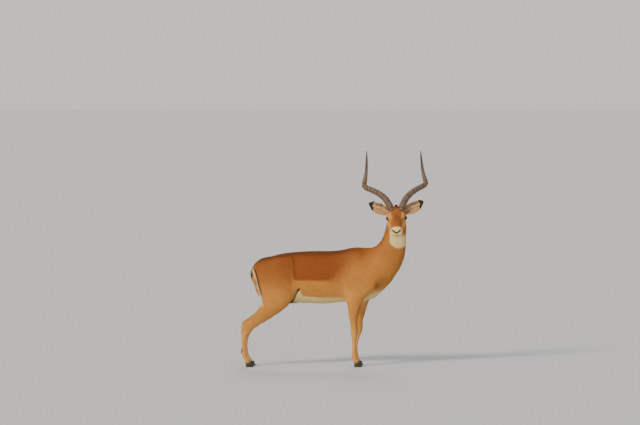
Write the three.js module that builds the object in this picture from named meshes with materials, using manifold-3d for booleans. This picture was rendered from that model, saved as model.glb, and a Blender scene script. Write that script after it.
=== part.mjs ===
// Life-size adult male impala (Aepyceros melampus), standing side-on with its head turned to its right.
//
// Millimetres, +Z up. +X is forward along the trunk and +Y is the animal's left: the head looks along -Y.
// The flesh is one implicit body: lofts through named stations, blended into each other. Each node is that
// same body, meshed over its own region and parted from its neighbours by thin plane cuts. Horns, eyes and
// hooves are separate pieces. The group is shifted at the end: its origin is on the floor, under the middle.
import * as THREE from "three";
import { mergeVertices } from "three/addons/utils/BufferGeometryUtils.js";
import Module from "manifold-3d";

const wasm = await Module();
wasm.setup();

// ---------------------------------------------------------------- driving dimensions

const GAP = 0.4; // between two nodes that meet
const WELD = 0.02; // corners closer than this are one corner

// Trunk, along X: [x, belly z, back z, half width, height of the widest point as a share]
const TRUNK = [
  [-482, 662, 682, 9, 0.5],
  [-471, 640, 700, 20, 0.5],
  [-454, 602, 719, 45, 0.5],
  [-425, 570, 737, 68, 0.5],
  [-380, 536, 755, 84, 0.52],
  [-320, 505, 776, 94, 0.55],
  [-250, 478, 796, 98, 0.5],
  [-172, 459, 806, 106, 0.45],
  [-84, 444, 811, 116, 0.43],
  [0, 438, 812, 121, 0.42],
  [70, 441, 812, 121, 0.42],
  [140, 449, 817, 113, 0.43],
  [205, 456, 830, 100, 0.45],
  [262, 455, 838, 89, 0.46],
  [320, 456, 837, 80, 0.46],
  [370, 470, 837, 74, 0.45],
  [420, 516, 830, 61, 0.45],
  [465, 566, 806, 47, 0.45],
  [500, 616, 770, 27, 0.45],
];
const TRUNK_ROUND = 2.15; // section exponent, 2 is an ellipse

// Neck, along Z: [z, nape x, throat x, half width, middle y]
const NECK = [
  [500, 250, 386, 42, 0],
  [545, 238, 438, 58, 0],
  [593, 236, 492, 71, 0],
  [640, 250, 533, 77, 0],
  [686, 278, 563, 78, 0],
  [730, 316, 584, 75, 0],
  [770, 352, 595, 72, 0],
  [810, 385, 602, 67, 0],
  [852, 413, 606, 64, 0],
  [889, 431, 607, 61, 0],
  [930, 447, 607, 58, -1],
  [973, 460, 607, 60, -4],
  [1015, 468, 605, 57, -8],
  [1050, 477, 598, 52, -10],
  [1080, 489, 584, 44, -8],
  [1098, 505, 568, 32, -6],
];

// Hind leg, along Z: [z, rear x, front x, half width, middle y from the midplane]
const HINDLEG = [
  [14, -522, -474, 15, 70],
  [30, -526, -480, 17, 70],
  [46, -532, -490, 17, 70],
  [64, -542, -505, 16, 70],
  [84, -552, -513, 18, 70],
  [100, -552, -517, 17, 70],
  [122, -550, -518, 14.5, 70],
  [160, -552, -518, 13.9, 70],
  [200, -554, -511, 15.2, 71],
  [232, -554, -498, 18.1, 71],
  [262, -560, -466, 21.8, 72],
  [290, -563, -424, 24.6, 73],
  [308, -560, -394, 25.4, 73],
  [322, -542, -369, 25.8, 73],
  [345, -509, -331, 27.6, 75],
  [372, -473, -292, 32.2, 76],
  [398, -445, -257, 36.7, 78],
  [428, -425, -223, 42.3, 80],
  [459, -409, -199, 47.9, 80],
  [500, -416, -180, 52.6, 78],
  [545, -435, -158, 56.4, 74],
  [600, -449, -160, 58.3, 68],
  [650, -461, -190, 56.4, 60],
  [700, -455, -235, 48.9, 50],
  [735, -430, -285, 35.7, 40],
  [760, -405, -325, 16.9, 32],
];

// Foreleg, along Z: [z, rear x, front x, half width, middle y from the midplane]
const FORELEG = [
  [14, 238, 286, 15, 70],
  [30, 234, 280, 17, 70],
  [46, 230, 270, 17, 70],
  [64, 223, 260, 16, 70],
  [84, 219, 258, 18, 70],
  [100, 220, 255, 17, 70],
  [124, 222, 253, 14.5, 70],
  [165, 223, 254, 13.9, 70],
  [200, 220, 256, 16.8, 70],
  [222, 214, 264, 21.7, 70],
  [248, 212, 270, 23.6, 70],
  [272, 212, 268, 22.5, 70],
  [300, 210, 262, 21.4, 70],
  [345, 200, 268, 26.1, 72],
  [390, 194, 277, 30.8, 73],
  [430, 189, 288, 34.6, 75],
  [465, 184, 305, 37.4, 76],
  [505, 182, 342, 40.3, 76],
  [550, 184, 386, 43.2, 72],
  [600, 190, 414, 44.2, 66],
  [650, 200, 412, 42.2, 60],
  [700, 214, 384, 36.5, 48],
  [745, 230, 350, 28.8, 36],
  [780, 246, 318, 17.3, 24],
];
// How far forward of the right leg the left one stands, along Z: [z, shift x]
const FORELEG_STEP = [
  [0, 10],
  [150, 15],
  [215, 26],
  [300, 40],
  [400, 50],
  [520, 44],
  [640, 18],
  [800, 0],
];
const HINDLEG_STEP = [
  [0, 12],
  [330, 12],
  [560, 6],
  [700, 0],
];

// Tail, along Z: [z, rear x, front x, half width]
const TAIL = [
  [508, -430, -424, 3],
  [524, -441, -422, 9],
  [545, -456, -430, 13],
  [575, -474, -444, 16],
  [607, -489, -458, 17],
  [637, -498, -468, 18],
  [662, -496, -466, 17],
  [684, -486, -456, 15],
  [700, -476, -453, 10],
];
const TAIL_SIDES = 8;

// Head frame: the origin is the poll, s runs to the nose, w to the animal's left, v out of the forehead.
const POLL = new THREE.Vector3(535, -10, 1122);
const HEAD_PITCH = 28; // degrees that the face line drops below the horizontal
const HEAD_YAW = 2.5; // nose turned towards the tail
const HEAD_ROLL = 2.4; // top of the head towards the tail

// Skull and face, along s: [s, underside v, forehead v, half width, height of the widest point as a share]
const SKULL = [
  [-20, -66, -34, 22, 0.5],
  [-6, -84, -12, 40, 0.55],
  [15, -92, 2, 48, 0.6],
  [40, -92, 10, 52, 0.62],
  [70, -88, 10, 54, 0.6],
  [98, -84, 5, 54, 0.58],
  [122, -82, 0, 49, 0.52],
  [150, -80, -4, 44, 0.48],
  [185, -80, -9, 39, 0.45],
  [215, -82, -12, 38, 0.42],
  [240, -84, -16, 39, 0.42],
  [258, -82, -21, 36, 0.45],
  [268, -74, -28, 28, 0.5],
  [274, -62, -38, 14, 0.5],
];
// Lower jaw, along s: [s, underside v, upper v, half width]
const JAW = [
  [20, -88, -40, 24],
  [38, -112, -40, 36],
  [62, -120, -40, 40],
  [95, -117, -50, 39],
  [130, -108, -60, 34],
  [170, -103, -68, 29],
  [205, -104, -72, 27],
  [232, -110, -76, 28],
  [250, -108, -80, 26],
  [261, -98, -86, 16],
];

const EYE_RADIUS = 17;
const EYE_AT = [97, 55, -35]; // s, w, v

// Ear: a leaf-shaped cup. Along its length: [share, half width, cup depth]
const EAR_THICK = 5;
const EAR_LEAF = [
  [0, 20, 22],
  [0.12, 27, 23],
  [0.3, 35, 21],
  [0.5, 38, 17],
  [0.68, 33, 13],
  [0.84, 21, 8],
  [0.94, 10, 4],
  [1, 3, 1],
];
const EAR_SAG = 7; // how far the leaf's middle hangs below the line from its root to its tip
const EAR_ACROSS = 5; // faces over the leaf's width
const EAR_ALONG = 8;
const EARS = {
  right: { root: [20, -50, -36], tip: [340, 8, 1150] },
  left: { root: [20, 50, -36], tip: [727, 8, 1164] },
};

// Horn: centreline offsets from its base, each [outward, backward, up], and radii along it
const HORN_BASE = [34, 37, -2]; // s, w, v
const HORN_PATH = [
  [-14, -10, -30],
  [0, 0, 4],
  [17, 20, 42],
  [42, 46, 80],
  [85, 80, 114],
  [129, 115, 137],
  [166, 144, 153],
  [181, 160, 168],
  [174, 172, 197],
  [165, 176, 240],
  [158, 165, 296],
  [154, 138, 354],
  [153, 104, 404],
];
const HORN_CORNER = 7; // the row where the horn turns upwards
const HORN_RADIUS = [
  [0, 19],
  [0.07, 24],
  [0.15, 23.5],
  [0.25, 22.2],
  [0.35, 20.5],
  [0.45, 19.4],
  [0.55, 18.8],
  [0.6, 17],
  [0.66, 14.2],
  [0.72, 11.6],
  [0.8, 9.6],
  [0.88, 7.4],
  [0.95, 4.6],
  [1, 1.6],
];
const HORN_SIDES = 7;
const HORN_RINGS = 38;
const HORN_RIDGED = 0.72; // share of the length that carries ridges
const HORN_RIDGE = 0.05; // ridge height as a share of the radius
const HORN_GROWTH = { right: 1.035, left: 1 }; // how much higher each tip stands over its corner

// Hoof: two toes to a foot
const TOE_LENGTH = 58;
const TOE_WIDTH = 19;
const TOE_SIDES = 8;
const CORONET = 30; // height of the hair line over the middle of the foot
const CORONET_SLOPE = 0.3; // and how it climbs towards the toe
const FEET = {
  foreleg_right: { x: 264, y: -70 },
  foreleg_left: { x: 274, y: 70 },
  hindleg_right: { x: -496, y: -70 },
  hindleg_left: { x: -484, y: 70 },
};

const FUR = new THREE.MeshStandardMaterial({ color: 0xb0703a, roughness: 0.85 });
const PALE_FUR = new THREE.MeshStandardMaterial({ color: 0xe2cfae, roughness: 0.9 });
const HORN_MATERIAL = new THREE.MeshStandardMaterial({ color: 0x4a3a33, roughness: 0.6 });
const HOOF_MATERIAL = new THREE.MeshStandardMaterial({ color: 0x1f1a18, roughness: 0.5 });
const EYE_MATERIAL = new THREE.MeshStandardMaterial({ color: 0x140c08, roughness: 0.1 });

// ---------------------------------------------------------------- curves and blends

const clamp = (t, low, high) => Math.min(Math.max(t, low), high);

// The values between rows of [station, ...values], by a smooth curve through the rows.
function stations(rows) {
  const slope = (i, column) => {
    const before = rows[Math.max(i - 1, 0)];
    const after = rows[Math.min(i + 1, rows.length - 1)];
    return (after[column] - before[column]) / (after[0] - before[0]);
  };
  return (station) => {
    const t = clamp(station, rows[0][0], rows.at(-1)[0]);
    let i = rows.findIndex((row) => row[0] > t) - 1;
    if (i < 0) i = rows.length - 2;
    const span = rows[i + 1][0] - rows[i][0];
    const u = (t - rows[i][0]) / span;
    return rows[i].slice(1).map((value, k) => {
      const next = rows[i + 1][k + 1];
      const rise = next - value;
      const bend = (1 - u) * (slope(i, k + 1) * span - rise) - u * (slope(i + 1, k + 1) * span - rise);
      return value + u * rise + u * (1 - u) * bend;
    });
  };
}

// Smooth union and smooth cut of two fields, over a blend of about k millimetres.
function join(a, b, k) {
  const h = Math.max(k - Math.abs(a - b), 0) / k;
  return Math.min(a, b) - (h * h * k) / 4;
}
const carve = (a, b, k) => -join(-a, b, k);

// Signed size of a section: low to high on one axis, a half width on the other, its widest place at a share.
function section(a, b, low, high, half, widest = 0.5, round = 2) {
  const middle = low + (high - low) * widest;
  const reach = a > middle ? high - middle : middle - low;
  const rho = (Math.abs((a - middle) / reach) ** round + Math.abs(b / half) ** round) ** (1 / round);
  return (rho - 1) * Math.min(half, (high - low) / 2);
}

// Past its first and last stations a loft ends in a rounded face.
function capped(value, t, rows) {
  const over = t - clamp(t, rows[0][0], rows.at(-1)[0]);
  return over === 0 ? value : Math.hypot(Math.max(value, 0), over) + Math.min(value, 0) * 0.1;
}

// An ellipsoid's field: its middle, its three radii and its lean in the XZ plane, in degrees.
function muscle(p, [x, y, z], [rx, ry, rz], lean = 0) {
  const turn = THREE.MathUtils.degToRad(lean);
  const dx = p.x - x;
  const dz = p.z - z;
  const along = (dx * Math.cos(turn) + dz * Math.sin(turn)) / rx;
  const across = (-dx * Math.sin(turn) + dz * Math.cos(turn)) / rz;
  const k = Math.hypot(along, (p.y - y) / ry, across);
  return (k - 1) * Math.min(rx, ry, rz);
}

// ---------------------------------------------------------------- the head's frame

const toRadians = THREE.MathUtils.degToRad;
const headBasis = (() => {
  const pitch = toRadians(HEAD_PITCH);
  const nose = new THREE.Vector3(0, -Math.cos(pitch), -Math.sin(pitch));
  const left = new THREE.Vector3(1, 0, 0);
  const brow = new THREE.Vector3().crossVectors(left, nose).negate();
  const turn = new THREE.Quaternion()
    .setFromAxisAngle(new THREE.Vector3(0, 1, 0), -toRadians(HEAD_ROLL))
    .multiply(new THREE.Quaternion().setFromAxisAngle(new THREE.Vector3(0, 0, 1), -toRadians(HEAD_YAW)));
  return [nose, left, brow].map((axis) => axis.applyQuaternion(turn));
})();
const [NOSE, LEFT, BROW] = headBasis;

// The point at s, w and v of the head's frame, and back.
const headPoint = (s, w, v) =>
  POLL.clone().addScaledVector(NOSE, s).addScaledVector(LEFT, w).addScaledVector(BROW, v);
function inHead(p) {
  const d = p.clone().sub(POLL);
  return new THREE.Vector3(d.dot(NOSE), d.dot(LEFT), d.dot(BROW));
}

// ---------------------------------------------------------------- the flesh as one field

const trunkAt = stations(TRUNK);
const neckAt = stations(NECK);
const foreAt = stations(FORELEG);
const hindAt = stations(HINDLEG);
const foreStep = stations(FORELEG_STEP);
const hindStep = stations(HINDLEG_STEP);
const skullAt = stations(SKULL);
const jawAt = stations(JAW);

function trunkField(p) {
  const [low, high, half, widest] = trunkAt(p.x);
  return capped(section(p.z, p.y, low, high, half, widest, TRUNK_ROUND), p.x, TRUNK);
}

function neckField(p) {
  const [nape, throat, half, middle] = neckAt(p.z);
  return capped(section(p.x, p.y - middle, nape, throat, half, 0.46, 2.1), p.z, NECK);
}

function legField(p, at, step, rows) {
  const left = p.y > 0;
  const [rear, front, half, middle] = at(p.z);
  const x = p.x - (left ? step(p.z)[0] : 0);
  return capped(section(x, Math.abs(p.y) - middle, rear, front, half, 0.5, 2.1), p.z, rows);
}

// The head's own forms, in its frame: h is a point as s, w and v.
function headField(h) {
  const [low, high, half, widest] = skullAt(h.x);
  const skull = capped(section(h.z, h.y, low, high, half, widest, 2.3), h.x, SKULL);
  const [under, upper, jawHalf] = jawAt(h.x);
  const jaw = capped(section(h.z, h.y, under, upper, jawHalf, 0.5, 2.2), h.x, JAW);
  const w = Math.abs(h.y);
  const side = { x: h.x, y: w, z: h.z };
  let head = join(skull, jaw, 16);
  head = join(head, muscle(side, [95, 45, -30], [32, 22, 26]), 12); // rim of the eye socket
  head = join(head, muscle(side, [56, 30, -66], [40, 20, 38]), 14); // cheek muscle
  head = join(head, muscle(side, [10, 38, -30], [26, 22, 24]), 12); // root of the ear
  head = join(head, muscle(side, [32, 35, -4], [22, 21, 20]), 12); // horn pedicle
  head = join(head, muscle(side, [244, 27, -52], [26, 15, 28]), 10); // wing of the nostril and lip
  return head;
}

// All flesh but the ears and the tail.
function bodyField(p) {
  const side = { x: p.x, y: Math.abs(p.y), z: p.z };
  const fore = legField(p, foreAt, foreStep, FORELEG);
  const hind = legField(p, hindAt, hindStep, HINDLEG);
  let body = trunkField(p);
  body = join(body, muscle(side, [-388, 48, 676], [72, 42, 50], -28), 36); // rump
  body = join(body, muscle(side, [-268, 58, 734], [56, 30, 40], -6), 40); // point of the hip
  body = join(body, muscle(side, [258, 52, 712], [50, 33, 84], 14), 40); // shoulder blade
  body = carve(body, muscle(side, [-205, 156, 652], [66, 48, 100], 0), 46); // hollow of the flank
  body = join(body, neckField(p), 34);
  body = join(body, hind, 30);
  body = join(body, fore, 30);
  body = join(body, muscle(side, [242, 77, 560], [62, 32, 78], 12), 26); // upper arm's rear muscle
  body = join(body, muscle(side, [378, 64, 600], [44, 34, 52], 0), 30); // point of the shoulder
  body = carve(body, muscle(p, [-482, 0, 606], [36, 21, 84], 8), 10); // where the tail hangs
  body = join(body, muscle(p, [-150, 0, 452], [60, 15, 15], -6), 20); // sheath
  body = join(body, muscle(side, [-352, 14, 486], [26, 20, 34], 10), 14); // scrotum
  return join(body, headField(inHead(p)), 26);
}

// ---------------------------------------------------------------- meshing

const solidFrom = (geometry) => {
  const bare = geometry.clone();
  for (const name of Object.keys(bare.attributes)) if (name !== "position") bare.deleteAttribute(name);
  const merged = mergeVertices(bare, 1e-4);
  return new wasm.Manifold(
    new wasm.Mesh({
      numProp: 3,
      vertProperties: new Float32Array(merged.attributes.position.array),
      triVerts: new Uint32Array(merged.index.array),
    }),
  );
};

// A solid's mesh with the slivers that a cut can leave welded shut.
function geometryFrom(solid) {
  const { vertProperties, triVerts } = solid.getMesh();
  const cut = new THREE.BufferGeometry()
    .setAttribute("position", new THREE.BufferAttribute(new Float32Array(vertProperties), 3))
    .setIndex(new THREE.BufferAttribute(new Uint32Array(triVerts), 1));
  const welded = mergeVertices(cut, WELD);
  const ids = Array.from(welded.index.array);
  const kept = [];
  for (let i = 0; i < ids.length; i += 3) {
    const [a, b, c] = ids.slice(i, i + 3);
    if (a !== b && b !== c && c !== a) kept.push(a, b, c);
  }
  return welded.setIndex(kept);
}

// The closed surface of field(p) = level inside a box, as a surface net: one vertex in each cell that the
// surface crosses, moved onto the surface. The box has its own axes: cells can be long where the form is.
// The grid moves a little until no edge of the net is shared by more than two faces.
function net(field, box) {
  for (const nudge of [0, 0.2, 0.4, 0.6, 0.8, 0.3, 0.5, 0.7]) {
    const made = netOnGrid(field, box, nudge);
    const index = made.index.array;
    const used = new Set();
    let simple = true;
    for (let i = 0; i < index.length; i++) {
      const edge = `${index[i]} ${index[i % 3 === 2 ? i - 2 : i + 1]}`;
      if (used.has(edge)) simple = false;
      used.add(edge);
    }
    if (simple) return solidFrom(made);
  }
  throw new Error("no grid gives a simple net");
}

function netOnGrid(field, { middle, size, cell, turn = new THREE.Euler(), level = 0 }, nudge) {
  const frame = new THREE.Matrix4().compose(
    new THREE.Vector3(...middle),
    new THREE.Quaternion().setFromEuler(turn),
    new THREE.Vector3(1, 1, 1),
  );
  const count = size.map((length, k) => Math.ceil(length / cell[k]));
  const start = count.map((n, k) => (-n / 2 + nudge) * cell[k]);
  const at = (i, j, k) =>
    new THREE.Vector3(start[0] + i * cell[0], start[1] + j * cell[1], start[2] + k * cell[2]).applyMatrix4(frame);
  const [nx, ny, nz] = count;
  const key = (i, j, k) => (k * (ny + 1) + j) * (nx + 1) + i;
  const values = new Float32Array((nx + 1) * (ny + 1) * (nz + 1));
  for (let k = 0; k <= nz; k++)
    for (let j = 0; j <= ny; j++)
      for (let i = 0; i <= nx; i++) {
        const edge = i === 0 || j === 0 || k === 0 || i === nx || j === ny || k === nz;
        const value = field(at(i, j, k)) - level;
        values[key(i, j, k)] = edge ? Math.max(value, 1) : value || 1e-6;
      }

  const positions = [];
  const vertexOf = new Map();
  const corners = [0, 1, 2, 3, 4, 5, 6, 7].map((c) => [c & 1, (c >> 1) & 1, (c >> 2) & 1]);
  const edges = corners.flatMap((a, i) =>
    corners.flatMap((b, j) => (j > i && a.filter((v, n) => v !== b[n]).length === 1 ? [[a, b]] : [])),
  );
  for (let k = 0; k < nz; k++)
    for (let j = 0; j < ny; j++)
      for (let i = 0; i < nx; i++) {
        const sum = new THREE.Vector3();
        let crossings = 0;
        for (const [a, b] of edges) {
          const va = values[key(i + a[0], j + a[1], k + a[2])];
          const vb = values[key(i + b[0], j + b[1], k + b[2])];
          if (va < 0 === vb < 0) continue;
          const from = at(i + a[0], j + a[1], k + a[2]);
          sum.add(from.lerp(at(i + b[0], j + b[1], k + b[2]), va / (va - vb)));
          crossings++;
        }
        if (!crossings) continue;
        const inside = i > 0 && j > 0 && k > 0 && i < nx - 1 && j < ny - 1 && k < nz - 1;
        const place = sum.divideScalar(crossings);
        vertexOf.set(key(i, j, k), positions.length / 3);
        positions.push(...(inside ? settle(field, place, level, Math.min(...cell) * 0.45) : place));
      }

  const triangles = [];
  const quad = (a, b, c, d, flip) => {
    const ids = [a, b, c, d].map((cellKey) => vertexOf.get(cellKey));
    if (flip) ids.reverse();
    const point = (id) => new THREE.Vector3().fromArray(positions, id * 3);
    const p = ids.map(point);
    const split = p[0].distanceTo(p[2]) < p[1].distanceTo(p[3]);
    triangles.push(...(split ? [0, 1, 2, 0, 2, 3] : [0, 1, 3, 1, 2, 3]).map((n) => ids[n]));
  };
  for (let k = 1; k <= nz; k++)
    for (let j = 1; j <= ny; j++)
      for (let i = 1; i <= nx; i++) {
        const here = values[key(i, j, k)] < 0;
        const corner = key(i - 1, j - 1, k - 1);
        if (here !== values[key(i - 1, j, k)] < 0)
          quad(corner, key(i - 1, j, k - 1), key(i - 1, j, k), key(i - 1, j - 1, k), here);
        if (here !== values[key(i, j - 1, k)] < 0)
          quad(corner, key(i - 1, j - 1, k), key(i, j - 1, k), key(i, j - 1, k - 1), here);
        if (here !== values[key(i, j, k - 1)] < 0)
          quad(corner, key(i, j - 1, k - 1), key(i, j, k - 1), key(i - 1, j, k - 1), here);
      }
  return new THREE.BufferGeometry()
    .setAttribute("position", new THREE.BufferAttribute(new Float32Array(positions), 3))
    .setIndex(triangles);
}

// Moves a point down the field's slope onto the surface, by at most `most`.
function settle(field, place, level, most) {
  const step = 0.5;
  const p = place.clone();
  const probe = (dx, dy, dz) => field(new THREE.Vector3(p.x + dx, p.y + dy, p.z + dz));
  for (let turn = 0; turn < 3; turn++) {
    const value = probe(0, 0, 0) - level;
    const slope = new THREE.Vector3(
      probe(step, 0, 0) - probe(-step, 0, 0),
      probe(0, step, 0) - probe(0, -step, 0),
      probe(0, 0, step) - probe(0, 0, -step),
    ).divideScalar(2 * step);
    p.addScaledVector(slope, -value / Math.max(slope.lengthSq(), 0.05));
    p.sub(place).clampLength(0, most).add(place);
  }
  return p.toArray();
}

const largest = (solid) => solid.decompose().reduce((a, b) => (b.volume() > a.volume() ? b : a));

// A closed surface through rings of equally many points, each ring running the same way round.
function skinOver(rings) {
  const sides = rings[0].length;
  const points = rings.flat();
  const first = points.push(average(rings[0])) - 1;
  const last = points.push(average(rings.at(-1))) - 1;
  const index = [];
  for (let r = 0; r + 1 < rings.length; r++)
    for (let i = 0; i < sides; i++) {
      const [a, b] = [r * sides + i, r * sides + ((i + 1) % sides)];
      index.push(a, b, a + sides, b, b + sides, a + sides);
    }
  for (let i = 0; i < sides; i++) {
    const top = (rings.length - 1) * sides;
    index.push(first, (i + 1) % sides, i, last, top + i, top + ((i + 1) % sides));
  }
  return new THREE.BufferGeometry().setFromPoints(points).setIndex(index);
}
const average = (points) =>
  points.reduce((sum, p) => sum.add(p), new THREE.Vector3()).divideScalar(points.length);

// ---------------------------------------------------------------- plane cuts

// A cutting plane through a point. Its normal points to the outer side, such as from the trunk to a leg.
const plane = (point, normal) => ({
  point: new THREE.Vector3(...point),
  normal: new THREE.Vector3(...normal).normalize(),
});
const outer = (solid, { point, normal }) =>
  solid.trimByPlane(normal.toArray(), normal.dot(point) + GAP / 2);
const inner = (solid, { point, normal }) =>
  solid.trimByPlane(normal.clone().negate().toArray(), -normal.dot(point) + GAP / 2);

const NECK_BASE = plane([398, 0, 852], [0.975, 0, 0.22]);
const NECK_TOP = plane([535, 30, 1125], [0, -0.883, 0.469]);
const side = { right: -1, left: 1 };
// The foreleg leaves the trunk below a plane that climbs outwards, and so does the hind leg.
const foreTop = (name) => plane([260, side[name] * 34, 455], [0, side[name] * 0.5, -1]);
const hindTop = (name) => plane([-200, side[name] * 12, 452], [-0.38, side[name] * 0.62, -1]);
const KNEE = 232;
const HOCK = 262;
const FETLOCK = 104;
const level = (z) => plane([0, 0, z], [0, 0, -1]);

// A block on the outer side of a plane, from x0 to x1 and on one side of the midplane.
function block(cut, x0, x1, name) {
  const s = side[name];
  const box = new THREE.BoxGeometry(x1 - x0, 400, 900);
  box.translate((x0 + x1) / 2, s * 200.5, 300);
  return outer(solidFrom(box), { point: cut.point, normal: cut.normal });
}

// ---------------------------------------------------------------- the nodes

const impala = new THREE.Group();
function add(name, solid, material) {
  const mesh = new THREE.Mesh(geometryFrom(solid), material);
  mesh.name = name;
  impala.add(mesh);
  return solid;
}

function buildTrunkAndLegs() {
  let trunk = net(bodyField, { middle: [-10, 0, 640], size: [1080, 330, 480], cell: [50, 34, 34] });
  trunk = inner(trunk, NECK_BASE);
  for (const name of ["right", "left"]) {
    const s = side[name];
    const step = name === "left" ? 1 : 0;
    const legs = {
      foreleg: { cut: foreTop(name), x0: 120, x1: 440, low: FORELEG, joint: KNEE, x: 262 + step * 26 },
      hindleg: { cut: hindTop(name), x0: -620, x1: -150, low: HINDLEG, joint: HOCK, x: -400 + step * 12 },
    };
    for (const [leg, { cut, x0, x1, joint, x }] of Object.entries(legs)) {
      const zone = { ...cut, point: cut.point.clone().addScaledVector(cut.normal, -GAP) };
      trunk = trunk.subtract(block(zone, x0, x1, name));
      const thigh = leg === "hindleg";
      let upper = net(bodyField, {
        middle: [thigh ? -345 : x + 10, s * 85, thigh ? 430 : 370],
        size: thigh ? [520, 180, 420] : [300, 170, 370],
        cell: thigh ? [31, 25, 31] : [24, 20, 38],
      });
      upper = inner(outer(upper, cut), level(joint));
      upper = upper.intersect(block(cut, x0, x1, name));
      add(`${leg}_${name}_upper`, upper, FUR);

      const shinX = thigh ? -520 : 250;
      const shin = net(bodyField, {
        middle: [shinX + step * 14, s * 76, (joint + 84) / 2],
        size: [thigh ? 130 : 90, 56, joint - 40],
        cell: thigh ? [14.5, 12.5, 32] : [13, 12.5, 32],
      });
      add(`${leg}_${name}_cannon`, inner(outer(shin, level(joint)), level(FETLOCK)), FUR);
      buildFoot(`${leg}_${name}`);
    }
  }
  return add("trunk", trunk, FUR);
}

// The pastern runs from the fetlock to the hair line, and two hooves stand under it.
function buildFoot(name) {
  const { x, y } = FEET[name];
  const coronet = (px) => CORONET + CORONET_SLOPE * (px - x);
  const hairLine = plane([x, y, CORONET], [CORONET_SLOPE, 0, -1]);
  const pastern = net(bodyField, { middle: [x - 20, y, 66], size: [110, 56, 130], cell: [14, 13, 15] });
  add(`${name}_pastern`, inner(outer(pastern, level(FETLOCK)), hairLine), FUR);
  for (const [toe, turn] of Object.entries({ inner: -Math.sign(y), outer: Math.sign(y) })) {
    const middle = y + turn * (TOE_WIDTH / 2 + 0.8);
    const ring = (share) => {
      const spread = 1 - 0.2 * share; // narrower and shorter towards the hair line
      return Array.from({ length: TOE_SIDES }, (_, i) => {
        const angle = (2 * Math.PI * i) / TOE_SIDES;
        const along = Math.cos(angle);
        const px = x + 4 + (TOE_LENGTH / 2) * along * spread - 7 * share;
        const taper = along > 0 ? 1 - 0.55 * along * along : 1; // the toe comes to a point
        const py = middle + turn * 0.6 + (TOE_WIDTH / 2) * Math.sin(angle) * taper * spread;
        const inside = turn * (py - y) < 0.8 ? y + turn * 0.8 : py;
        return new THREE.Vector3(px, inside, share * (coronet(px) - GAP));
      });
    };
    add(`${name}_hoof_${toe}`, solidFrom(skinOver([0, 0.5, 1].map(ring))), HOOF_MATERIAL);
  }
}

function buildNeck() {
  const neck = net(bodyField, { middle: [520, -10, 820], size: [330, 240, 740], cell: [34, 31, 42] });
  add("neck", inner(outer(neck, NECK_BASE), NECK_TOP), FUR);
}

// The head's own box has its axes along s, w and v.
function headBox(level = 0, cell = [17, 13.6, 13.6]) {
  const basis = new THREE.Matrix4().makeBasis(NOSE, LEFT, BROW);
  const turn = new THREE.Euler().setFromRotationMatrix(basis);
  return { middle: headPoint(118, 0, -58).toArray(), size: [330, 200, 230], cell, turn, level };
}

function buildHead() {
  const whole = net(bodyField, headBox());
  let head = outer(whole, NECK_TOP);
  for (const [name, s] of Object.entries(side)) {
    const [along, out, up] = EYE_AT;
    const at = headPoint(along, s * out, up);
    const ball = (radius, across, around) => {
      const sphere = new THREE.SphereGeometry(radius, across, around);
      sphere.translate(at.x, at.y, at.z);
      return solidFrom(sphere);
    };
    head = head.subtract(ball(EYE_RADIUS + GAP, 10, 7));
    head = head.subtract(hornShape(name, GAP));
    add(`eye_${name}`, ball(EYE_RADIUS, 10, 7), EYE_MATERIAL);
    add(`horn_${name}`, hornShape(name), HORN_MATERIAL);
  }
  return add("head", head, FUR);
}

// A leaf-shaped cup from its root in the head to its tip, open to the front.
function buildEar(name, headTool) {
  const { root, tip } = EARS[name];
  const from = headPoint(...root);
  const to = new THREE.Vector3(...tip);
  const axis = to.clone().sub(from);
  const length = axis.length();
  axis.normalize();
  const open = new THREE.Vector3(0, -1, 0.12);
  open.addScaledVector(axis, -open.dot(axis)).normalize();
  const across = new THREE.Vector3().crossVectors(axis, open);
  const down = across.clone().multiplyScalar(-Math.sign(across.z));
  const leaf = stations(EAR_LEAF);
  const wall = (u, v, thick) => {
    const [half, deep] = leaf(u);
    const spread = v * (Math.PI / 2) * 0.92;
    const p = from.clone().addScaledVector(axis, u * length);
    p.addScaledVector(down, EAR_SAG * Math.sin(Math.PI * u));
    p.addScaledVector(across, (half + thick * 0.8) * Math.sin(spread));
    return p.addScaledVector(open, deep * 0.6 - (deep + thick) * Math.cos(spread));
  };
  const rings = Array.from({ length: EAR_ALONG + 1 }, (_, i) => {
    const u = i / EAR_ALONG;
    const steps = Array.from({ length: EAR_ACROSS + 1 }, (_, j) => (2 * j) / EAR_ACROSS - 1);
    const thick = EAR_THICK * (u === 1 ? 0.4 : 1);
    return [...steps.map((v) => wall(u, v, 0)), ...steps.reverse().map((v) => wall(u, v, thick))];
  });
  const ear = solidFrom(skinOver(rings)).subtract(headTool).subtract(hornShape(name, 3 * GAP));
  add(`ear_${name}`, ear, PALE_FUR);
}

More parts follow.
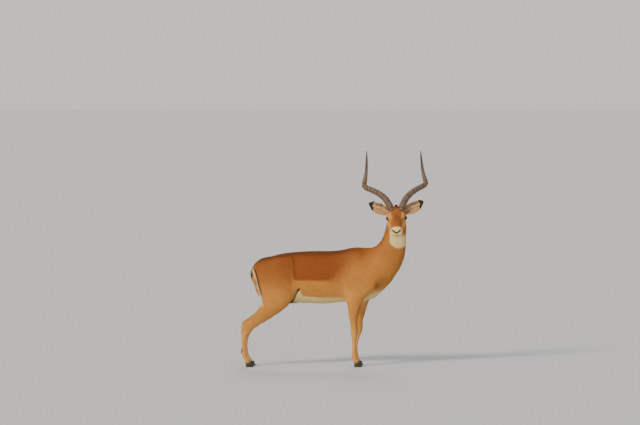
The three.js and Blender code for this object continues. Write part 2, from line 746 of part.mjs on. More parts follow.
// A ringed horn along its curve, rooted in a socket in the head. The socket is its shape grown a little.
function hornShape(name, grow = 0) {
  const s = side[name];
  const [along, out, up] = HORN_BASE;
  const base = headPoint(along, s * out, up);
  const roll = new THREE.Quaternion().setFromAxisAngle(new THREE.Vector3(0, 1, 0), -toRadians(HEAD_ROLL));
  const path = new THREE.CatmullRomCurve3(
    HORN_PATH.map(([outward, back, height], i) => {
      const past = Math.max(i - HORN_CORNER, 0) / (HORN_PATH.length - 1 - HORN_CORNER);
      const grown = 1 + (HORN_GROWTH[name] - 1) * past;
      return new THREE.Vector3(s * outward, back, height * grown).applyQuaternion(roll).add(base);
    }),
    false,
    "centripetal",
  );
  const radius = stations(HORN_RADIUS);
  const frames = path.computeFrenetFrames(HORN_RINGS, false);
  const rings = Array.from({ length: HORN_RINGS + 1 }, (_, i) => {
    const u = i / HORN_RINGS;
    const ridge = u < HORN_RIDGED ? HORN_RIDGE * (i % 2 ? 1 : -1) : 0;
    const r = radius(u)[0] * (1 + ridge) + grow;
    const middle = path.getPointAt(u);
    if (i === 0) middle.addScaledVector(path.getTangentAt(0), -grow);
    return Array.from({ length: HORN_SIDES }, (_, k) => {
      const angle = (2 * Math.PI * k) / HORN_SIDES;
      return middle
        .clone()
        .addScaledVector(frames.normals[i], r * Math.cos(angle))
        .addScaledVector(frames.binormals[i], r * Math.sin(angle));
    });
  });
  return solidFrom(skinOver(rings));
}

function buildTail(trunk) {
  const ring = ([z, rear, front, half]) =>
    Array.from({ length: TAIL_SIDES }, (_, i) => {
      const angle = (2 * Math.PI * i) / TAIL_SIDES;
      const x = (rear + front) / 2 + ((front - rear) / 2) * Math.cos(angle);
      return new THREE.Vector3(x, half * Math.sin(angle), z);
    });
  const tail = solidFrom(skinOver(TAIL.map(ring)));
  const around = { middle: [-440, 0, 620], size: [130, 90, 250], cell: [13, 11, 17], level: GAP };
  const tool = net(bodyField, around);
  add("tail", largest(tail.subtract(tool).subtract(trunk)), FUR);
}

const trunk = buildTrunkAndLegs();
buildNeck();
buildHead();
const headTool = net(bodyField, headBox(4 * GAP));
for (const name of Object.keys(side)) buildEar(name, headTool);
buildTail(trunk);

// The origin goes on the floor, under the middle of the whole animal.
const bounds = new THREE.Box3().setFromObject(impala);
const middle = bounds.getCenter(new THREE.Vector3());
impala.position.set(-middle.x, -middle.y, 0);

export default impala;
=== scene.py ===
"""Looks of a life-size impala ram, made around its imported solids.

Metres, +Z up. The ram faces +X, its left side is +Y, and its head is turned to look along -Y.
One skin replaces every node of flesh. It is a level set of those nodes, smoothed, set in by the depth of the
coat and then modelled further at the face, neck and flanks. Tufts of hair, as solid blades, lie over it. Skin
and hair take their colour from one function, markings(), of where a point is on the animal.
"""
import math

import bmesh
import bpy
import numpy as np
import openvdb
from mathutils import Matrix, Vector
from mathutils.bvhtree import BVHTree


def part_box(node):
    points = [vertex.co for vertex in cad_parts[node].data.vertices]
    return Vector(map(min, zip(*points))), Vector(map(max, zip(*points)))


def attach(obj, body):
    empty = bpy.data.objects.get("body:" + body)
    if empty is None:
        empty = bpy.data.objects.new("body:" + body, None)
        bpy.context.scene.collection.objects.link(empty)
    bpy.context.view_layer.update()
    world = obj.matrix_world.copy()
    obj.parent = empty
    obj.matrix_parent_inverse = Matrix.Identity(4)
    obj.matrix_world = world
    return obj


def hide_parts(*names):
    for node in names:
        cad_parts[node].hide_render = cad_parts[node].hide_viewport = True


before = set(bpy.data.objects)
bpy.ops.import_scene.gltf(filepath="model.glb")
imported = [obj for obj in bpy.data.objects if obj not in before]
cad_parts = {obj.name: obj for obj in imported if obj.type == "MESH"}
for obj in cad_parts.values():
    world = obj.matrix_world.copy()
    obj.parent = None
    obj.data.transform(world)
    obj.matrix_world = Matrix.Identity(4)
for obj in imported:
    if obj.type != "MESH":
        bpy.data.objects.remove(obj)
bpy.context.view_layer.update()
RANDOM = np.random.default_rng(11)
BODY = "root"


# ---- Small helpers

def smoothstep(low, high, value):
    """0 at the low end and 1 at the high end, smooth between. The low end may be the larger number."""
    t = np.clip((value - low) / (high - low), 0.0, 1.0)
    return t * t * (3.0 - 2.0 * t)


def between(value, start, full, fading, end):
    """0 up to the start, 1 from full to fading, and 0 again from the end."""
    return smoothstep(start, full, value) * (1 - smoothstep(fading, end, value))


def bump_at(value, centre, width):
    """1 at the centre, falling to 0 at a distance of about twice the width."""
    return np.exp(-(((value - centre) / width) ** 2))


def spot(a, b, width_a, width_b):
    """1 at the middle of an oval, falling to 0 at about twice its widths."""
    return bump_at(np.hypot(a / width_a, b / width_b), 0, 1.0)


def unit(vectors):
    return vectors / np.maximum(np.linalg.norm(vectors, axis=-1, keepdims=True), 1e-9)


def mix(a, b, weight):
    """Blend of two colours or vectors, by a weight for each row."""
    weight = np.asarray(weight)[..., None]
    return a * (1.0 - weight) + b * weight


def painted(colour, *layers):
    """The colour with layers over it in turn, each a colour and how well it covers, 0 to 1."""
    for laid, cover in layers:
        colour = mix(colour, laid, cover)
    return colour


def flattened(vectors, normals, share=1.0):
    """The vectors without the share of them that stands up along the normals."""
    return vectors - share * normals * (vectors * normals).sum(1)[:, None]


def srgb(red, green, blue):
    """A colour as it reads on screen, 0 to 255, as linear light."""
    c = np.array([red, green, blue], float) / 255.0
    return np.where(c <= 0.04045, c / 12.92, ((c + 0.055) / 1.055) ** 2.4)


def vertex_places(mesh):
    places = np.empty(len(mesh.vertices) * 3, np.float32)
    mesh.vertices.foreach_get("co", places)
    return places.reshape(-1, 3)


def welded(names):
    """The corners, merged where shared, and triangles of some CAD nodes, and each triangle's node index."""
    corners = []
    owner = []
    for k, name in enumerate(names):
        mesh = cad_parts[name].data
        mesh.calc_loop_triangles()
        triangles = np.empty(len(mesh.loop_triangles) * 3, np.int32)
        mesh.loop_triangles.foreach_get("vertices", triangles)
        corners.append(vertex_places(mesh)[triangles])
        owner.append(np.full(len(triangles) // 3, k))
    points, index = np.unique(np.round(np.concatenate(corners), 6), axis=0, return_inverse=True)
    return points, index.reshape(-1, 3), np.concatenate(owner)


def mesh_object(name, points, faces):
    """A smooth mesh object riding on the body. faces is an (n, 3) or (n, 4) array."""
    mesh = bpy.data.meshes.new(name)
    mesh.vertices.add(len(points))
    mesh.vertices.foreach_set("co", np.asarray(points, np.float32).ravel())
    mesh.loops.add(faces.size)
    mesh.loops.foreach_set("vertex_index", np.asarray(faces, np.int32).ravel())
    mesh.polygons.add(len(faces))
    mesh.polygons.foreach_set("loop_start", np.arange(0, faces.size, faces.shape[1], dtype=np.int32))
    mesh.polygons.foreach_set("use_smooth", np.full(len(faces), True))
    mesh.update(calc_edges=True)
    made = bpy.data.objects.new(name, mesh)
    bpy.context.scene.collection.objects.link(made)
    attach(made, BODY)
    return made


def tube_faces(rings, sides):
    """The triangles of a closed tube of rings of points, which one point for each of its ends follows."""
    a = np.arange((rings - 1) * sides)
    b = a // sides * sides + (a + 1) % sides
    walls = np.concatenate([np.stack([a, b, b + sides], 1), np.stack([a, b + sides, a + sides], 1)])
    rim = np.arange(sides)
    ahead = (rim + 1) % sides
    last = (rings - 1) * sides
    start = np.stack([np.full(sides, rings * sides), ahead, rim], 1)
    end = np.stack([np.full(sides, rings * sides + 1), last + rim, last + ahead], 1)
    return np.concatenate([walls, start, end])


# ---- Landmarks, from the nodes

def middle(node):
    low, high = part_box(node)
    return np.array((low + high) / 2)


FORE_TOE_X = 0.26735  # the middle of the right fore toes, ahead of the shoulder column
FORE_HOOVES = [f"foreleg_{side}_hoof_{toe}" for side in ("left", "right") for toe in ("inner", "outer")]
MIDPLANE_Y = sum(middle(hoof)[1] for hoof in FORE_HOOVES) / 4
STAND = np.array([middle("foreleg_right_hoof_inner")[0] - FORE_TOE_X, MIDPLANE_Y, 0.0])

HEAD_PITCH = math.radians(28.0)
HEAD_YAW = math.radians(2.5)
HEAD_ROLL = math.radians(2.4)
EYE_RADIUS = 0.017
EYE_S = 0.097
EYE_W = 0.055
EYE_V = -0.035
HEAD_TURN = np.array(Matrix.Rotation(-HEAD_ROLL, 3, "Y") @ Matrix.Rotation(-HEAD_YAW, 3, "Z"))
NOSE = HEAD_TURN @ np.array([0.0, -math.cos(HEAD_PITCH), -math.sin(HEAD_PITCH)])
LEFT = HEAD_TURN @ np.array([1.0, 0.0, 0.0])
BROW = HEAD_TURN @ np.array([0.0, -math.sin(HEAD_PITCH), math.cos(HEAD_PITCH)])
HEAD_AXES = np.stack([NOSE, LEFT, BROW])
POLL = (middle("eye_left") + middle("eye_right")) / 2 - EYE_S * NOSE - EYE_V * BROW


def in_body(points):
    """x ahead of the shoulder column, y to the animal's left of its midplane, z over the floor."""
    return points - STAND


def in_head(points):
    """s from the poll to the nose, w to the animal's left, v out of the forehead."""
    return (points - POLL) @ HEAD_AXES.T


def from_head(s, w, v):
    return POLL + s * NOSE + w * LEFT + v * BROW


def leaning(back, down):
    """A direction in the body's frame, backward and down."""
    return np.array([-back, 0.0, -down])


# ---- The face's lines, in the head's frame

LIPS_S = 0.262  # the front of the lips
MOUTH_V = -0.0805  # height of the mouth there
NOSTRIL_TOP = np.array([0.0250, -0.0365])  # side, v: the outer end of each nostril
NOSTRIL_FOOT = np.array([0.0005, -0.0525])  # where the two meet over the lip
CLEFT_TOP = -0.052  # v of the upper end of the cleft between nostrils and mouth
EYE_HALF_LENGTH = 0.0156
EYE_ABOVE = 0.0098  # the opening's height over its long axis
EYE_BELOW = 0.0082


def mouth_line(s, side):
    """The height v of the mouth on its way back from the front of the lips."""
    return MOUTH_V + 0.055 * (LIPS_S - s) - 0.10 * np.maximum(0.015 - side, 0)


def nostril_distance(side, v):
    """Each point's distance from the nostril's line, seen from the front, and its share of the way down."""
    step = NOSTRIL_FOOT - NOSTRIL_TOP
    d = np.stack([side, v], 1) - NOSTRIL_TOP
    t = np.clip(d @ step / (step @ step), 0, 1)
    sag = 0.0016 * np.sin(math.pi * t)
    return np.hypot(*(d - t[:, None] * step + np.outer(sag, [0.5, 0.87])).T), t


def nose_pad(s, side, v):
    """1 on the bare black skin: the two nostrils and the short cleft under them."""
    distance, t = nostril_distance(side, v)
    line = 1 - smoothstep(0.0052, 0.0066, distance + 0.0010 * t)
    cleft = 1 - smoothstep(0.0014, 0.0026, side)
    cleft = cleft * smoothstep(MOUTH_V - 0.001, MOUTH_V + 0.003, v) * (v < CLEFT_TOP)
    return np.maximum(line, 0.8 * cleft) * smoothstep(0.240, 0.248, s)


def muzzle_front(s, v):
    """1 on the blunt front of the muzzle, 0 behind it."""
    return smoothstep(0.226, 0.250, s) * smoothstep(-0.120, -0.100, v)


def on_head(s, w, v):
    """Whether each point is on the head, as the face's lines run on past it."""
    return (np.abs(w) < 0.10) & (s < 0.30) & (v > -0.16)


def from_eye(s, side, v):
    """Distance from the nearer eye's middle."""
    return np.hypot(np.hypot(s - EYE_S, side - EYE_W), v - EYE_V)


class EyeFrame:
    """One eye: its middle, the way it looks, and the directions along and across its opening."""

    def __init__(self, side):
        sign = 1 if side == "left" else -1
        self.middle = middle(f"eye_{side}")
        self.out = unit(0.82 * sign * LEFT + 0.48 * NOSE + 0.22 * BROW)
        long = NOSE - 0.30 * BROW
        self.long = unit(long - self.out * (long @ self.out))
        self.high = np.cross(self.out, self.long) * sign

    def opening(self, points):
        """Distance from the middle, reach out of the opening (1 at the lids), and whether over its axis."""
        d = points - self.middle
        size = np.linalg.norm(d, axis=1)
        d = d / size[:, None] * EYE_RADIUS
        along_share = np.abs(d @ self.long / EYE_HALF_LENGTH)
        high = d @ self.high
        narrow = np.clip(1 - along_share ** 2, 0.02, 1)
        arch = np.where(high > 0, EYE_ABOVE * narrow ** 0.80, EYE_BELOW * narrow ** 0.95)
        reach = np.maximum(np.abs(high) / arch, along_share)
        reach = np.minimum(reach, np.hypot(high / EYE_BELOW, along_share) + 0.35)
        return size, np.where(d @ self.out > 0, reach, 3.0), high > 0


EYE_PAIR = {side: EyeFrame(side) for side in ("left", "right")}


def eye_reach(points):
    """The smaller reach of the two eyes, far out where a point isn't at an eye."""
    total = np.full(len(points), 9.0)
    for eye in EYE_PAIR.values():
        size, reach, _ = eye.opening(points)
        total = np.where(size < EYE_RADIUS + 0.008, np.minimum(total, reach), total)
    return total


# ---- The flesh as a level set

FLESH = [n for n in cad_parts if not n.startswith(("eye_", "horn_")) and "_hoof_" not in n]
EARS = [n for n in FLESH if n.startswith("ear_")]
VOXEL = 0.004
BAND = 5  # voxels each side of the surface
CLOSE = 0.0007  # grown by this to close the thin cuts between nodes
FINE_BLUR = 1.0  # voxels
BROAD_BLUR = 2.1

flesh_points, flesh_faces, flesh_owner = welded(FLESH)
ball_points, ball_faces, _ = welded(["eye_left", "eye_right"])
GRID_LOW = np.floor(flesh_points.min(0) / VOXEL).astype(int) - BAND - 1
GRID_SIZE = np.ceil(flesh_points.max(0) / VOXEL).astype(int) + BAND + 1 - GRID_LOW
GRID_SIZE += GRID_SIZE % 2
HEAD_MIDDLE = from_head(0.12, 0.0, -0.04)


def level_set(points, **faces):
    """A signed distance field, in the frame's metres, of a closed mesh."""
    faces = {kind: np.ascontiguousarray(value, np.uint32) for kind, value in faces.items()}
    return openvdb.FloatGrid.createLevelSetFromPolygons(
        np.ascontiguousarray(points, np.float32),
        transform=openvdb.createLinearTransform(voxelSize=VOXEL),
        halfWidth=float(BAND),
        **faces,
    )


def blurred(field, sigma):
    """The field under a Gaussian of sigma voxels."""
    reach = int(math.ceil(2.5 * sigma))
    offsets = np.arange(-reach, reach + 1)
    weights = np.exp(-0.5 * (offsets / sigma) ** 2)
    weights /= weights.sum()
    for axis in range(3):
        total = field * weights[reach]
        for k in range(1, reach + 1):
            ahead = [slice(None)] * 3
            behind = [slice(None)] * 3
            ahead[axis] = slice(k, None)
            behind[axis] = slice(None, -k)
            total[tuple(ahead)] += weights[reach + k] * field[tuple(behind)]
            total[tuple(behind)] += weights[reach - k] * field[tuple(ahead)]
        field = total
    return field


class Field:
    """A signed distance on the grid, read at points between its voxels."""

    def __init__(self, values):
        self.values = values

    def at(self, points):
        place = np.clip(points / VOXEL - GRID_LOW, 0, np.array(self.values.shape) - 1.001)
        cell = place.astype(int)
        f = place - cell
        x, y, z = cell.T
        total = np.zeros(len(points))
        for i in (0, 1):
            for j in (0, 1):
                for k in (0, 1):
                    share = (f[:, 0] if i else 1 - f[:, 0]) * (f[:, 1] if j else 1 - f[:, 1])
                    share = share * (f[:, 2] if k else 1 - f[:, 2])
                    total += share * self.values[x + i, y + j, z + k]
        return total

    def slope(self, points):
        columns = []
        for axis in range(3):
            shift = np.zeros(3)
            shift[axis] = VOXEL
            columns.append((self.at(points + shift) - self.at(points - shift)) / (2 * VOXEL))
        return np.stack(columns, 1)

    def settle(self, points, target, steps=4, reach=0.004):
        """The points moved along the slope to where the field has its target value."""
        for _ in range(steps):
            slope = self.slope(points)
            size = np.maximum((slope ** 2).sum(1), 0.2)
            move = np.clip((self.at(points) - target) / size, -reach, reach)
            points = points - move[:, None] * slope
        return points


def grid_axes():
    """The body coordinates of the grid's planes."""
    return [(np.arange(GRID_SIZE[a]) + GRID_LOW[a]) * VOXEL - STAND[a] for a in range(3)]


def make_field():
    """The flesh's own field, and the same smoothed, by more on the trunk than on the legs and face."""
    whole = np.concatenate([flesh_points, ball_points])
    first = level_set(whole, triangles=np.concatenate([flesh_faces, ball_faces + len(flesh_points)]))
    points, quads = first.convertToQuads(isovalue=CLOSE)
    closed = level_set(points, quads=quads)
    raw = np.full(tuple(GRID_SIZE), BAND * VOXEL, np.float32)
    closed.copyToArray(raw, ijk=tuple(int(v) for v in GRID_LOW))
    raw += CLOSE
    fine = blurred(raw, FINE_BLUR)
    broad = blurred(fine, BROAD_BLUR)
    x, y, z = grid_axes()
    head = np.sqrt(
        (x[:, None, None] + STAND[0] - HEAD_MIDDLE[0]) ** 2
        + (y[None, :, None] + STAND[1] - HEAD_MIDDLE[1]) ** 2
        + (z[None, None, :] - HEAD_MIDDLE[2]) ** 2
    )
    weight = (smoothstep(0.13, 0.19, head) * smoothstep(0.28, 0.42, z)[None, None, :]).astype(np.float32)
    return raw, Field(fine + (broad - fine) * weight)


RAW, SURFACE = make_field()


# ---- Regions and their coats

# Of each region: how deep the coat is, and a tuft's length and width
COAT = {
    "trunk": (0.0028, 0.0150, 0.0017),
    "neck": (0.0028, 0.0165, 0.0017),
    "head": (0.0012, 0.0070, 0.0010),
    "ear": (0.0005, 0.0065, 0.0010),
    "tail": (0.0040, 0.0200, 0.0016),
    "thigh": (0.0024, 0.0130, 0.0016),
    "shank": (0.0011, 0.0075, 0.0013),
}
REGIONS = list(COAT)


def region_of(node):
    if node.startswith("ear_"):
        return "ear"
    if "leg_" in node:
        return "thigh" if node.endswith("_upper") else "shank"
    return node


def by_region(parts, weights):
    """Each region's values, summed by their weights at each point."""
    return sum(weights[:, k, None] * parts[name] for k, name in enumerate(REGIONS))


flesh_tree = BVHTree.FromPolygons(flesh_points.tolist(), flesh_faces.tolist())
node_region = np.array([REGIONS.index(region_of(n)) for n in FLESH])


def nearest_flesh(points):
    """For each point, the nearest place on the flesh nodes, the way out there, and the index of the node."""
    places = np.empty((len(points), 3))
    normals = np.empty((len(points), 3))
    nodes = np.empty(len(points), int)
    for k, point in enumerate(points.tolist()):
        places[k], normals[k], face, _ = flesh_tree.find_nearest(point)
        nodes[k] = flesh_owner[face]
    return places, normals, nodes


class Net:
    """A surface of triangles or quads and the sums over its edges."""

    def __init__(self, points, faces):
        self.points = points
        self.faces = faces
        sides = faces.shape[1]
        edges = np.concatenate([faces[:, [k, (k + 1) % sides]] for k in range(sides)])
        edges = np.sort(edges, axis=1)
        self.edges = np.unique(edges[edges[:, 0] != edges[:, 1]], axis=0)
        self.degree = np.bincount(self.edges.ravel(), minlength=len(points)).clip(1)

    def around(self, values):
        """Each vertex's mean over its neighbours, of rows of values."""
        a, b = self.edges.T
        columns = []
        for column in values.T:
            total = np.bincount(a, column[b], len(self.points)) + np.bincount(b, column[a], len(self.points))
            columns.append(total / self.degree)
        return np.stack(columns, 1)

    def spread(self, values, times):
        """The values with each vertex's drawn halfway to its neighbours', a number of times."""
        for _ in range(times):
            values = 0.5 * values + 0.5 * self.around(values)
        return values

    def pull(self, share, where):
        """Draws each vertex by a share of the way to its neighbours."""
        self.points = self.points + share * (self.around(self.points) - self.points) * where

    def middles(self, values):
        """The mean of the corners' values for each face."""
        return values[self.faces].mean(1)

    def normals(self):
        p = self.points[self.faces]
        if self.faces.shape[1] == 4:
            face = np.cross(p[:, 2] - p[:, 0], p[:, 3] - p[:, 1])
        else:
            face = np.cross(p[:, 1] - p[:, 0], p[:, 2] - p[:, 0])
        total = np.zeros_like(self.points)
        for k in range(self.faces.shape[1]):
            for axis in range(3):
                total[:, axis] += np.bincount(self.faces[:, k], face[:, axis], len(self.points))
        return unit(total)


# ---- The skin's net

NET_OUTSET = 0.0026  # the first net lies this far outside, so that thin ears hold together
EAR_MARGIN = 0.008
FINE_FEET = 0.30  # height below which the legs have a finer net


def coarse_quads():
    """The flesh's surface, a little outside it, on every second plane of the grid."""
    grid = openvdb.FloatGrid(BAND * VOXEL)
    grid.copyFromArray(np.ascontiguousarray(RAW[::2, ::2, ::2]))
    points, quads = grid.convertToQuads(isovalue=NET_OUTSET)
    return (points * 2 + GRID_LOW) * VOXEL, quads.astype(int)


def refined(points, faces, zones):
    """The mesh with the faces inside each zone in turn cut in four, then in triangles."""
    mesh = bpy.data.meshes.new("refining")
    mesh.from_pydata(points.tolist(), [], faces.tolist())
    bm = bmesh.new()
    bm.from_mesh(mesh)
    bpy.data.meshes.remove(mesh)
    for zone in zones:
        bm.verts.index_update()
        inside = zone(np.array([v.co for v in bm.verts]))
        chosen = [e for e in bm.edges if inside[e.verts[0].index] and inside[e.verts[1].index]]
        bmesh.ops.subdivide_edges(bm, edges=chosen, cuts=1, use_grid_fill=True)
    bmesh.ops.triangulate(bm, faces=bm.faces[:])
    bm.verts.index_update()
    places = np.array([v.co for v in bm.verts])
    triangles = np.array([[v.index for v in f.verts] for f in bm.faces])
    bm.free()
    return places, triangles


def ear_zone(points):
    """In a box round either ear."""
    inside = np.zeros(len(points), bool)
    for name in EARS:
        low, high = (np.array(c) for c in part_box(name))
        inside |= ((points > low - EAR_MARGIN) & (points < high + EAR_MARGIN)).all(1)
    return inside


def head_and_foot_zone(points):
    """The whole head with its ears, and the lower legs."""
    s, w, v = in_head(points).T
    face = (s > -0.035) & (np.abs(w) < 0.075) & (v > -0.16) & (v < 0.06)
    return face | ear_zone(points) | (points[:, 2] < FINE_FEET)


def face_zone(points):
    """Round the eyes, the muzzle and the ears."""
    s, w, v = in_head(points).T
    return (s > 0.205) & (v > -0.14) | (from_eye(s, np.abs(w), v) < 0.042) | ear_zone(points)


def feature_zone(points):
    """Close round the eyes, the nostrils and the mouth."""
    s, w, v = in_head(points).T
    side = np.abs(w)
    nostrils = (s > 0.246) & (side < 0.032) & (v > -0.092) & (v < -0.022)
    mouth = (s > 0.200) & (np.abs(v - mouth_line(s, side)) < 0.007)
    return (from_eye(s, side, v) < 0.025) | nostrils | mouth


def make_skin():
    """The net laid on the smoothed flesh, set in by the coat's depth, with the ears on their own nodes."""
    net = Net(*refined(*coarse_quads(), [head_and_foot_zone, face_zone, feature_zone]))
    places, out, nodes = nearest_flesh(net.points)
    weights = net.spread((node_region[nodes][:, None] == np.arange(len(REGIONS))).astype(float), 5)
    coat = weights @ np.array([COAT[name] for name in REGIONS])
    ear = smoothstep(0.35, 0.75, weights[:, REGIONS.index("ear")])
    laid = places - out * COAT["ear"][0]
    for _ in range(3):
        net.points = mix(SURFACE.settle(net.points, -coat[:, 0], steps=3), laid, ear)
        drift = flattened(net.around(net.points) - net.points, net.normals())
        net.points = net.points + 0.6 * drift * (1 - ear)[:, None]
    net.points = mix(SURFACE.settle(net.points, -coat[:, 0], steps=2), laid, ear)
    for share in (0.5, -0.51) * 14:  # in and out in turn, so that the ears stay as thick as they are
        net.pull(share, ear[:, None])
    model_face(net)
    model_body(net)
    model_lids(net)
    return net, weights, coat


# ---- Modelling of the skin

# Where the thigh's front edge lies against the flank, and the line of the hollow of the flank: z, x. Both are
# grooves in the skin, and both carry painted shade
THIGH_CREASE = np.array([(0.440, -0.200), (0.455, -0.192), (0.549, -0.144), (0.600, -0.140)])
FLANK_HOLLOW = np.array([(0.600, -0.174), (0.640, -0.176), (0.730, -0.180), (0.770, -0.192), (0.810, -0.214)])


def along(rows, value):
    """Where a line given by rows of places has got to at a value of its first coordinate."""
    return np.interp(value, rows[:, 0], rows[:, 1])


def raise_by(net, heights):
    """Moves each vertex out by its height."""
    net.points = net.points + heights[:, None] * net.normals()


def model_face(net):
    """Bones, lips and nostrils, as heights over the skin."""
    s, w, v = in_head(net.points).T
    side = np.abs(w)
    top = smoothstep(-0.050, -0.030, v)
    lip = mouth_line(s, side)
    lips = smoothstep(0.185, 0.215, s)
    distance, t = nostril_distance(side, v)
    nose = smoothstep(0.240, 0.250, s)
    cleft = (v > MOUTH_V - 0.003) * (v < CLEFT_TOP)
    horn_root = bump_at(np.hypot(s - 0.036, side - 0.036), 0.024, 0.006)
    hollow = bump_at(v, -0.072, 0.012) * bump_at(s, 0.165, 0.030)
    heights = {
        "brow": 0.0022 * bump_at(side, 0.041, 0.010) * bump_at(s, 0.078, 0.024) * top,
        "bridge": -0.0018 * bump_at(side, 0.029, 0.007) * between(s, 0.11, 0.14, 0.20, 0.23) * top,
        "forehead": -0.0020 * spot(side, s - 0.105, 0.016, 0.030) * top,
        "cheek": 0.0026 * bump_at(v, -0.058 - 0.10 * (s - 0.09), 0.008) * between(s, 0.03, 0.07, 0.13, 0.18),
        "hollow": -0.0024 * hollow * smoothstep(0.015, 0.03, side),
        "upper lip": 0.0020 * bump_at(v, lip + 0.0090, 0.0060) * lips,
        "lower lip": 0.0018 * bump_at(v, lip - 0.0070, 0.0045) * lips,
        "under the lip": -0.0016 * bump_at(v, lip - 0.0150, 0.0040) * lips,
        "mouth": -0.0048 * bump_at(v, lip, 0.0020) * smoothstep(0.175, 0.205, s),
        "nostril": -(0.0085 - 0.0070 * t) * (1 - smoothstep(0.0008, 0.0040, distance)) * nose,
        "wing": 0.0014 * bump_at(distance, 0.0066, 0.0022) * (1 - t) * nose,
        "cleft": -0.0014 * (1 - smoothstep(0.0008, 0.0026, side)) * cleft * nose,
        "horn root": 0.0030 * horn_root * smoothstep(-0.04, -0.01, v),
    }
    raise_by(net, sum(heights.values()) * smoothstep(-0.03, 0.03, s))


def model_lids(net):
    """Opens the skin over each eyeball, with a thick margin to the lids and a fold over the upper one."""
    for eye in EYE_PAIR.values():
        size, reach, upper = eye.opening(net.points)
        margin = 0.0015 * bump_at(reach, 1.12, 0.13)
        fold = 0.0016 * bump_at(reach, 1.72, 0.22) - 0.0009 * bump_at(reach, 1.40, 0.10)
        bag = 0.0006 * bump_at(reach, 1.7, 0.25)
        rim = EYE_RADIUS + 0.0011 + margin + np.where(upper, fold, bag)
        fade = smoothstep(0.034, 0.026, size) * (reach < 3.0)
        wanted = size + (np.maximum(size, rim) - size) * fade
        inside = (1 - smoothstep(0.94, 1.03, reach)) * (size < 0.034)
        wanted = wanted + (EYE_RADIUS - 0.0035 - wanted) * inside
        net.points = eye.middle + (net.points - eye.middle) * (wanted / size)[:, None]


def model_body(net):
    """The loose folds at the base of the neck, the creases of the flank and the groove behind the forearm."""
    x, y, z = in_body(net.points).T
    sides = smoothstep(0.35, 0.8, np.abs(net.normals()[:, 1]))
    slant = x - 0.350 - 0.50 * (z - 0.697)
    folds = sum(bump_at(slant, place, 0.0045) for place in (0.0, 0.016, 0.034))
    heights = 0.0030 * folds * between(z, 0.68, 0.72, 0.80, 0.84)
    heights += -0.0050 * bump_at(x, along(THIGH_CREASE, z), 0.007) * between(z, 0.455, 0.475, 0.56, 0.60)
    heights += -0.0035 * bump_at(x, along(FLANK_HOLLOW, z), 0.012) * between(z, 0.59, 0.64, 0.77, 0.81)
    heights += -0.0030 * bump_at(x, 0.185 - 0.25 * (z - 0.6), 0.016) * between(z, 0.50, 0.54, 0.62, 0.70)
    raise_by(net, heights * sides * (np.abs(y) > 0.02))


skin, skin_weights, skin_coat = make_skin()
skin_normals = skin.normals()


# ---- Markings, and painted shade in the flank's hollow, the thigh's crease, at the chest and on the chin

RUFOUS = srgb(156, 84, 34)
BACK = srgb(112, 62, 28)
FAWN = srgb(208, 140, 64)
PALE_FAWN = srgb(232, 168, 84)
SAND = srgb(234, 174, 98)
CREAM = srgb(242, 208, 150)
WHITE = srgb(255, 228, 164)
PINK = srgb(172, 130, 102)
BROWN = srgb(92, 54, 30)
BLACK = srgb(28, 21, 18)

# Lower edge of the dark saddle, and of the fawn flank over the white belly: x, z
SADDLE_EDGE = np.array([
    (-0.480, 0.700), (-0.400, 0.715), (-0.300, 0.705), (-0.230, 0.670), (-0.195, 0.635),
    (-0.165, 0.612), (0.070, 0.609), (0.100, 0.617), (0.140, 0.644), (0.190, 0.696),
    (0.250, 0.735), (0.320, 0.765), (0.420, 0.820),
])
BELLY_EDGE = np.array([
    (-0.320, 0.450), (-0.200, 0.466), (-0.162, 0.512), (-0.145, 0.548), (-0.134, 0.542),
    (-0.116, 0.502), (0.000, 0.491), (0.155, 0.489), (0.230, 0.472), (0.300, 0.478),
    (0.362, 0.514), (0.432, 0.538), (0.480, 0.565),
])
# The black stripe down each side of the rump: z, x
RUMP_STRIPE = np.array([(0.440, -0.384), (0.516, -0.407), (0.560, -0.419), (0.620, -0.434), (0.690, -0.452)])
SHEATH_X = -0.176
SHEATH_TOP = 0.480


def trunk_colours(q, n):
    """A rufous saddle over fawn flanks and a white belly."""
    x, y, z = q.T
    softness = 0.085 - 0.076 * between(x, -0.20, -0.17, 0.03, 0.18)
    saddle = smoothstep(-1, 1, (z - along(SADDLE_EDGE, x)) / softness)
    rear = 1 - smoothstep(-0.200, -0.178, x)
    fade = 0.42 * smoothstep(0.04, 0.34, x) * (1 - 0.6 * smoothstep(0.74, 0.81, z))
    pale = (0.20 + 0.35 * smoothstep(0.0, 0.15, x)) * smoothstep(0.62, 0.50, z)
    spine = smoothstep(0.50, 0.92, n[:, 2]) * smoothstep(0.70, 0.76, z) * (1 - smoothstep(0.16, 0.36, x))
    belly = 1 - smoothstep(-0.007, 0.007, z - along(BELLY_EDGE, x))
    under = smoothstep(0.45, 0.85, -n[:, 2]) * (1 - smoothstep(0.50, 0.62, z))
    colour = painted(
        FAWN,
        (PALE_FAWN, pale),
        (RUFOUS, 0.60 * rear * smoothstep(0.48, 0.66, z)),
        (RUFOUS, saddle * (1 - 0.18 * rear - fade)),
        # painted shade in the hollow of the flank, along its groove
        (BACK, 0.70 * bump_at(x, along(FLANK_HOLLOW, z), 0.010) * between(z, 0.60, 0.64, 0.78, 0.81)),
        (BACK, 0.75 * spine),
        (WHITE, np.maximum(belly, under)),
        (BLACK, 0.85 * spot(x - SHEATH_X, y, 0.026, 0.024) * (z < SHEATH_TOP)),
    )
    # then painted shade in the thigh's crease and at the point of the chest
    return rump_colours(chest_shade(crease_shade(colour, x, z), x, z), q, n)


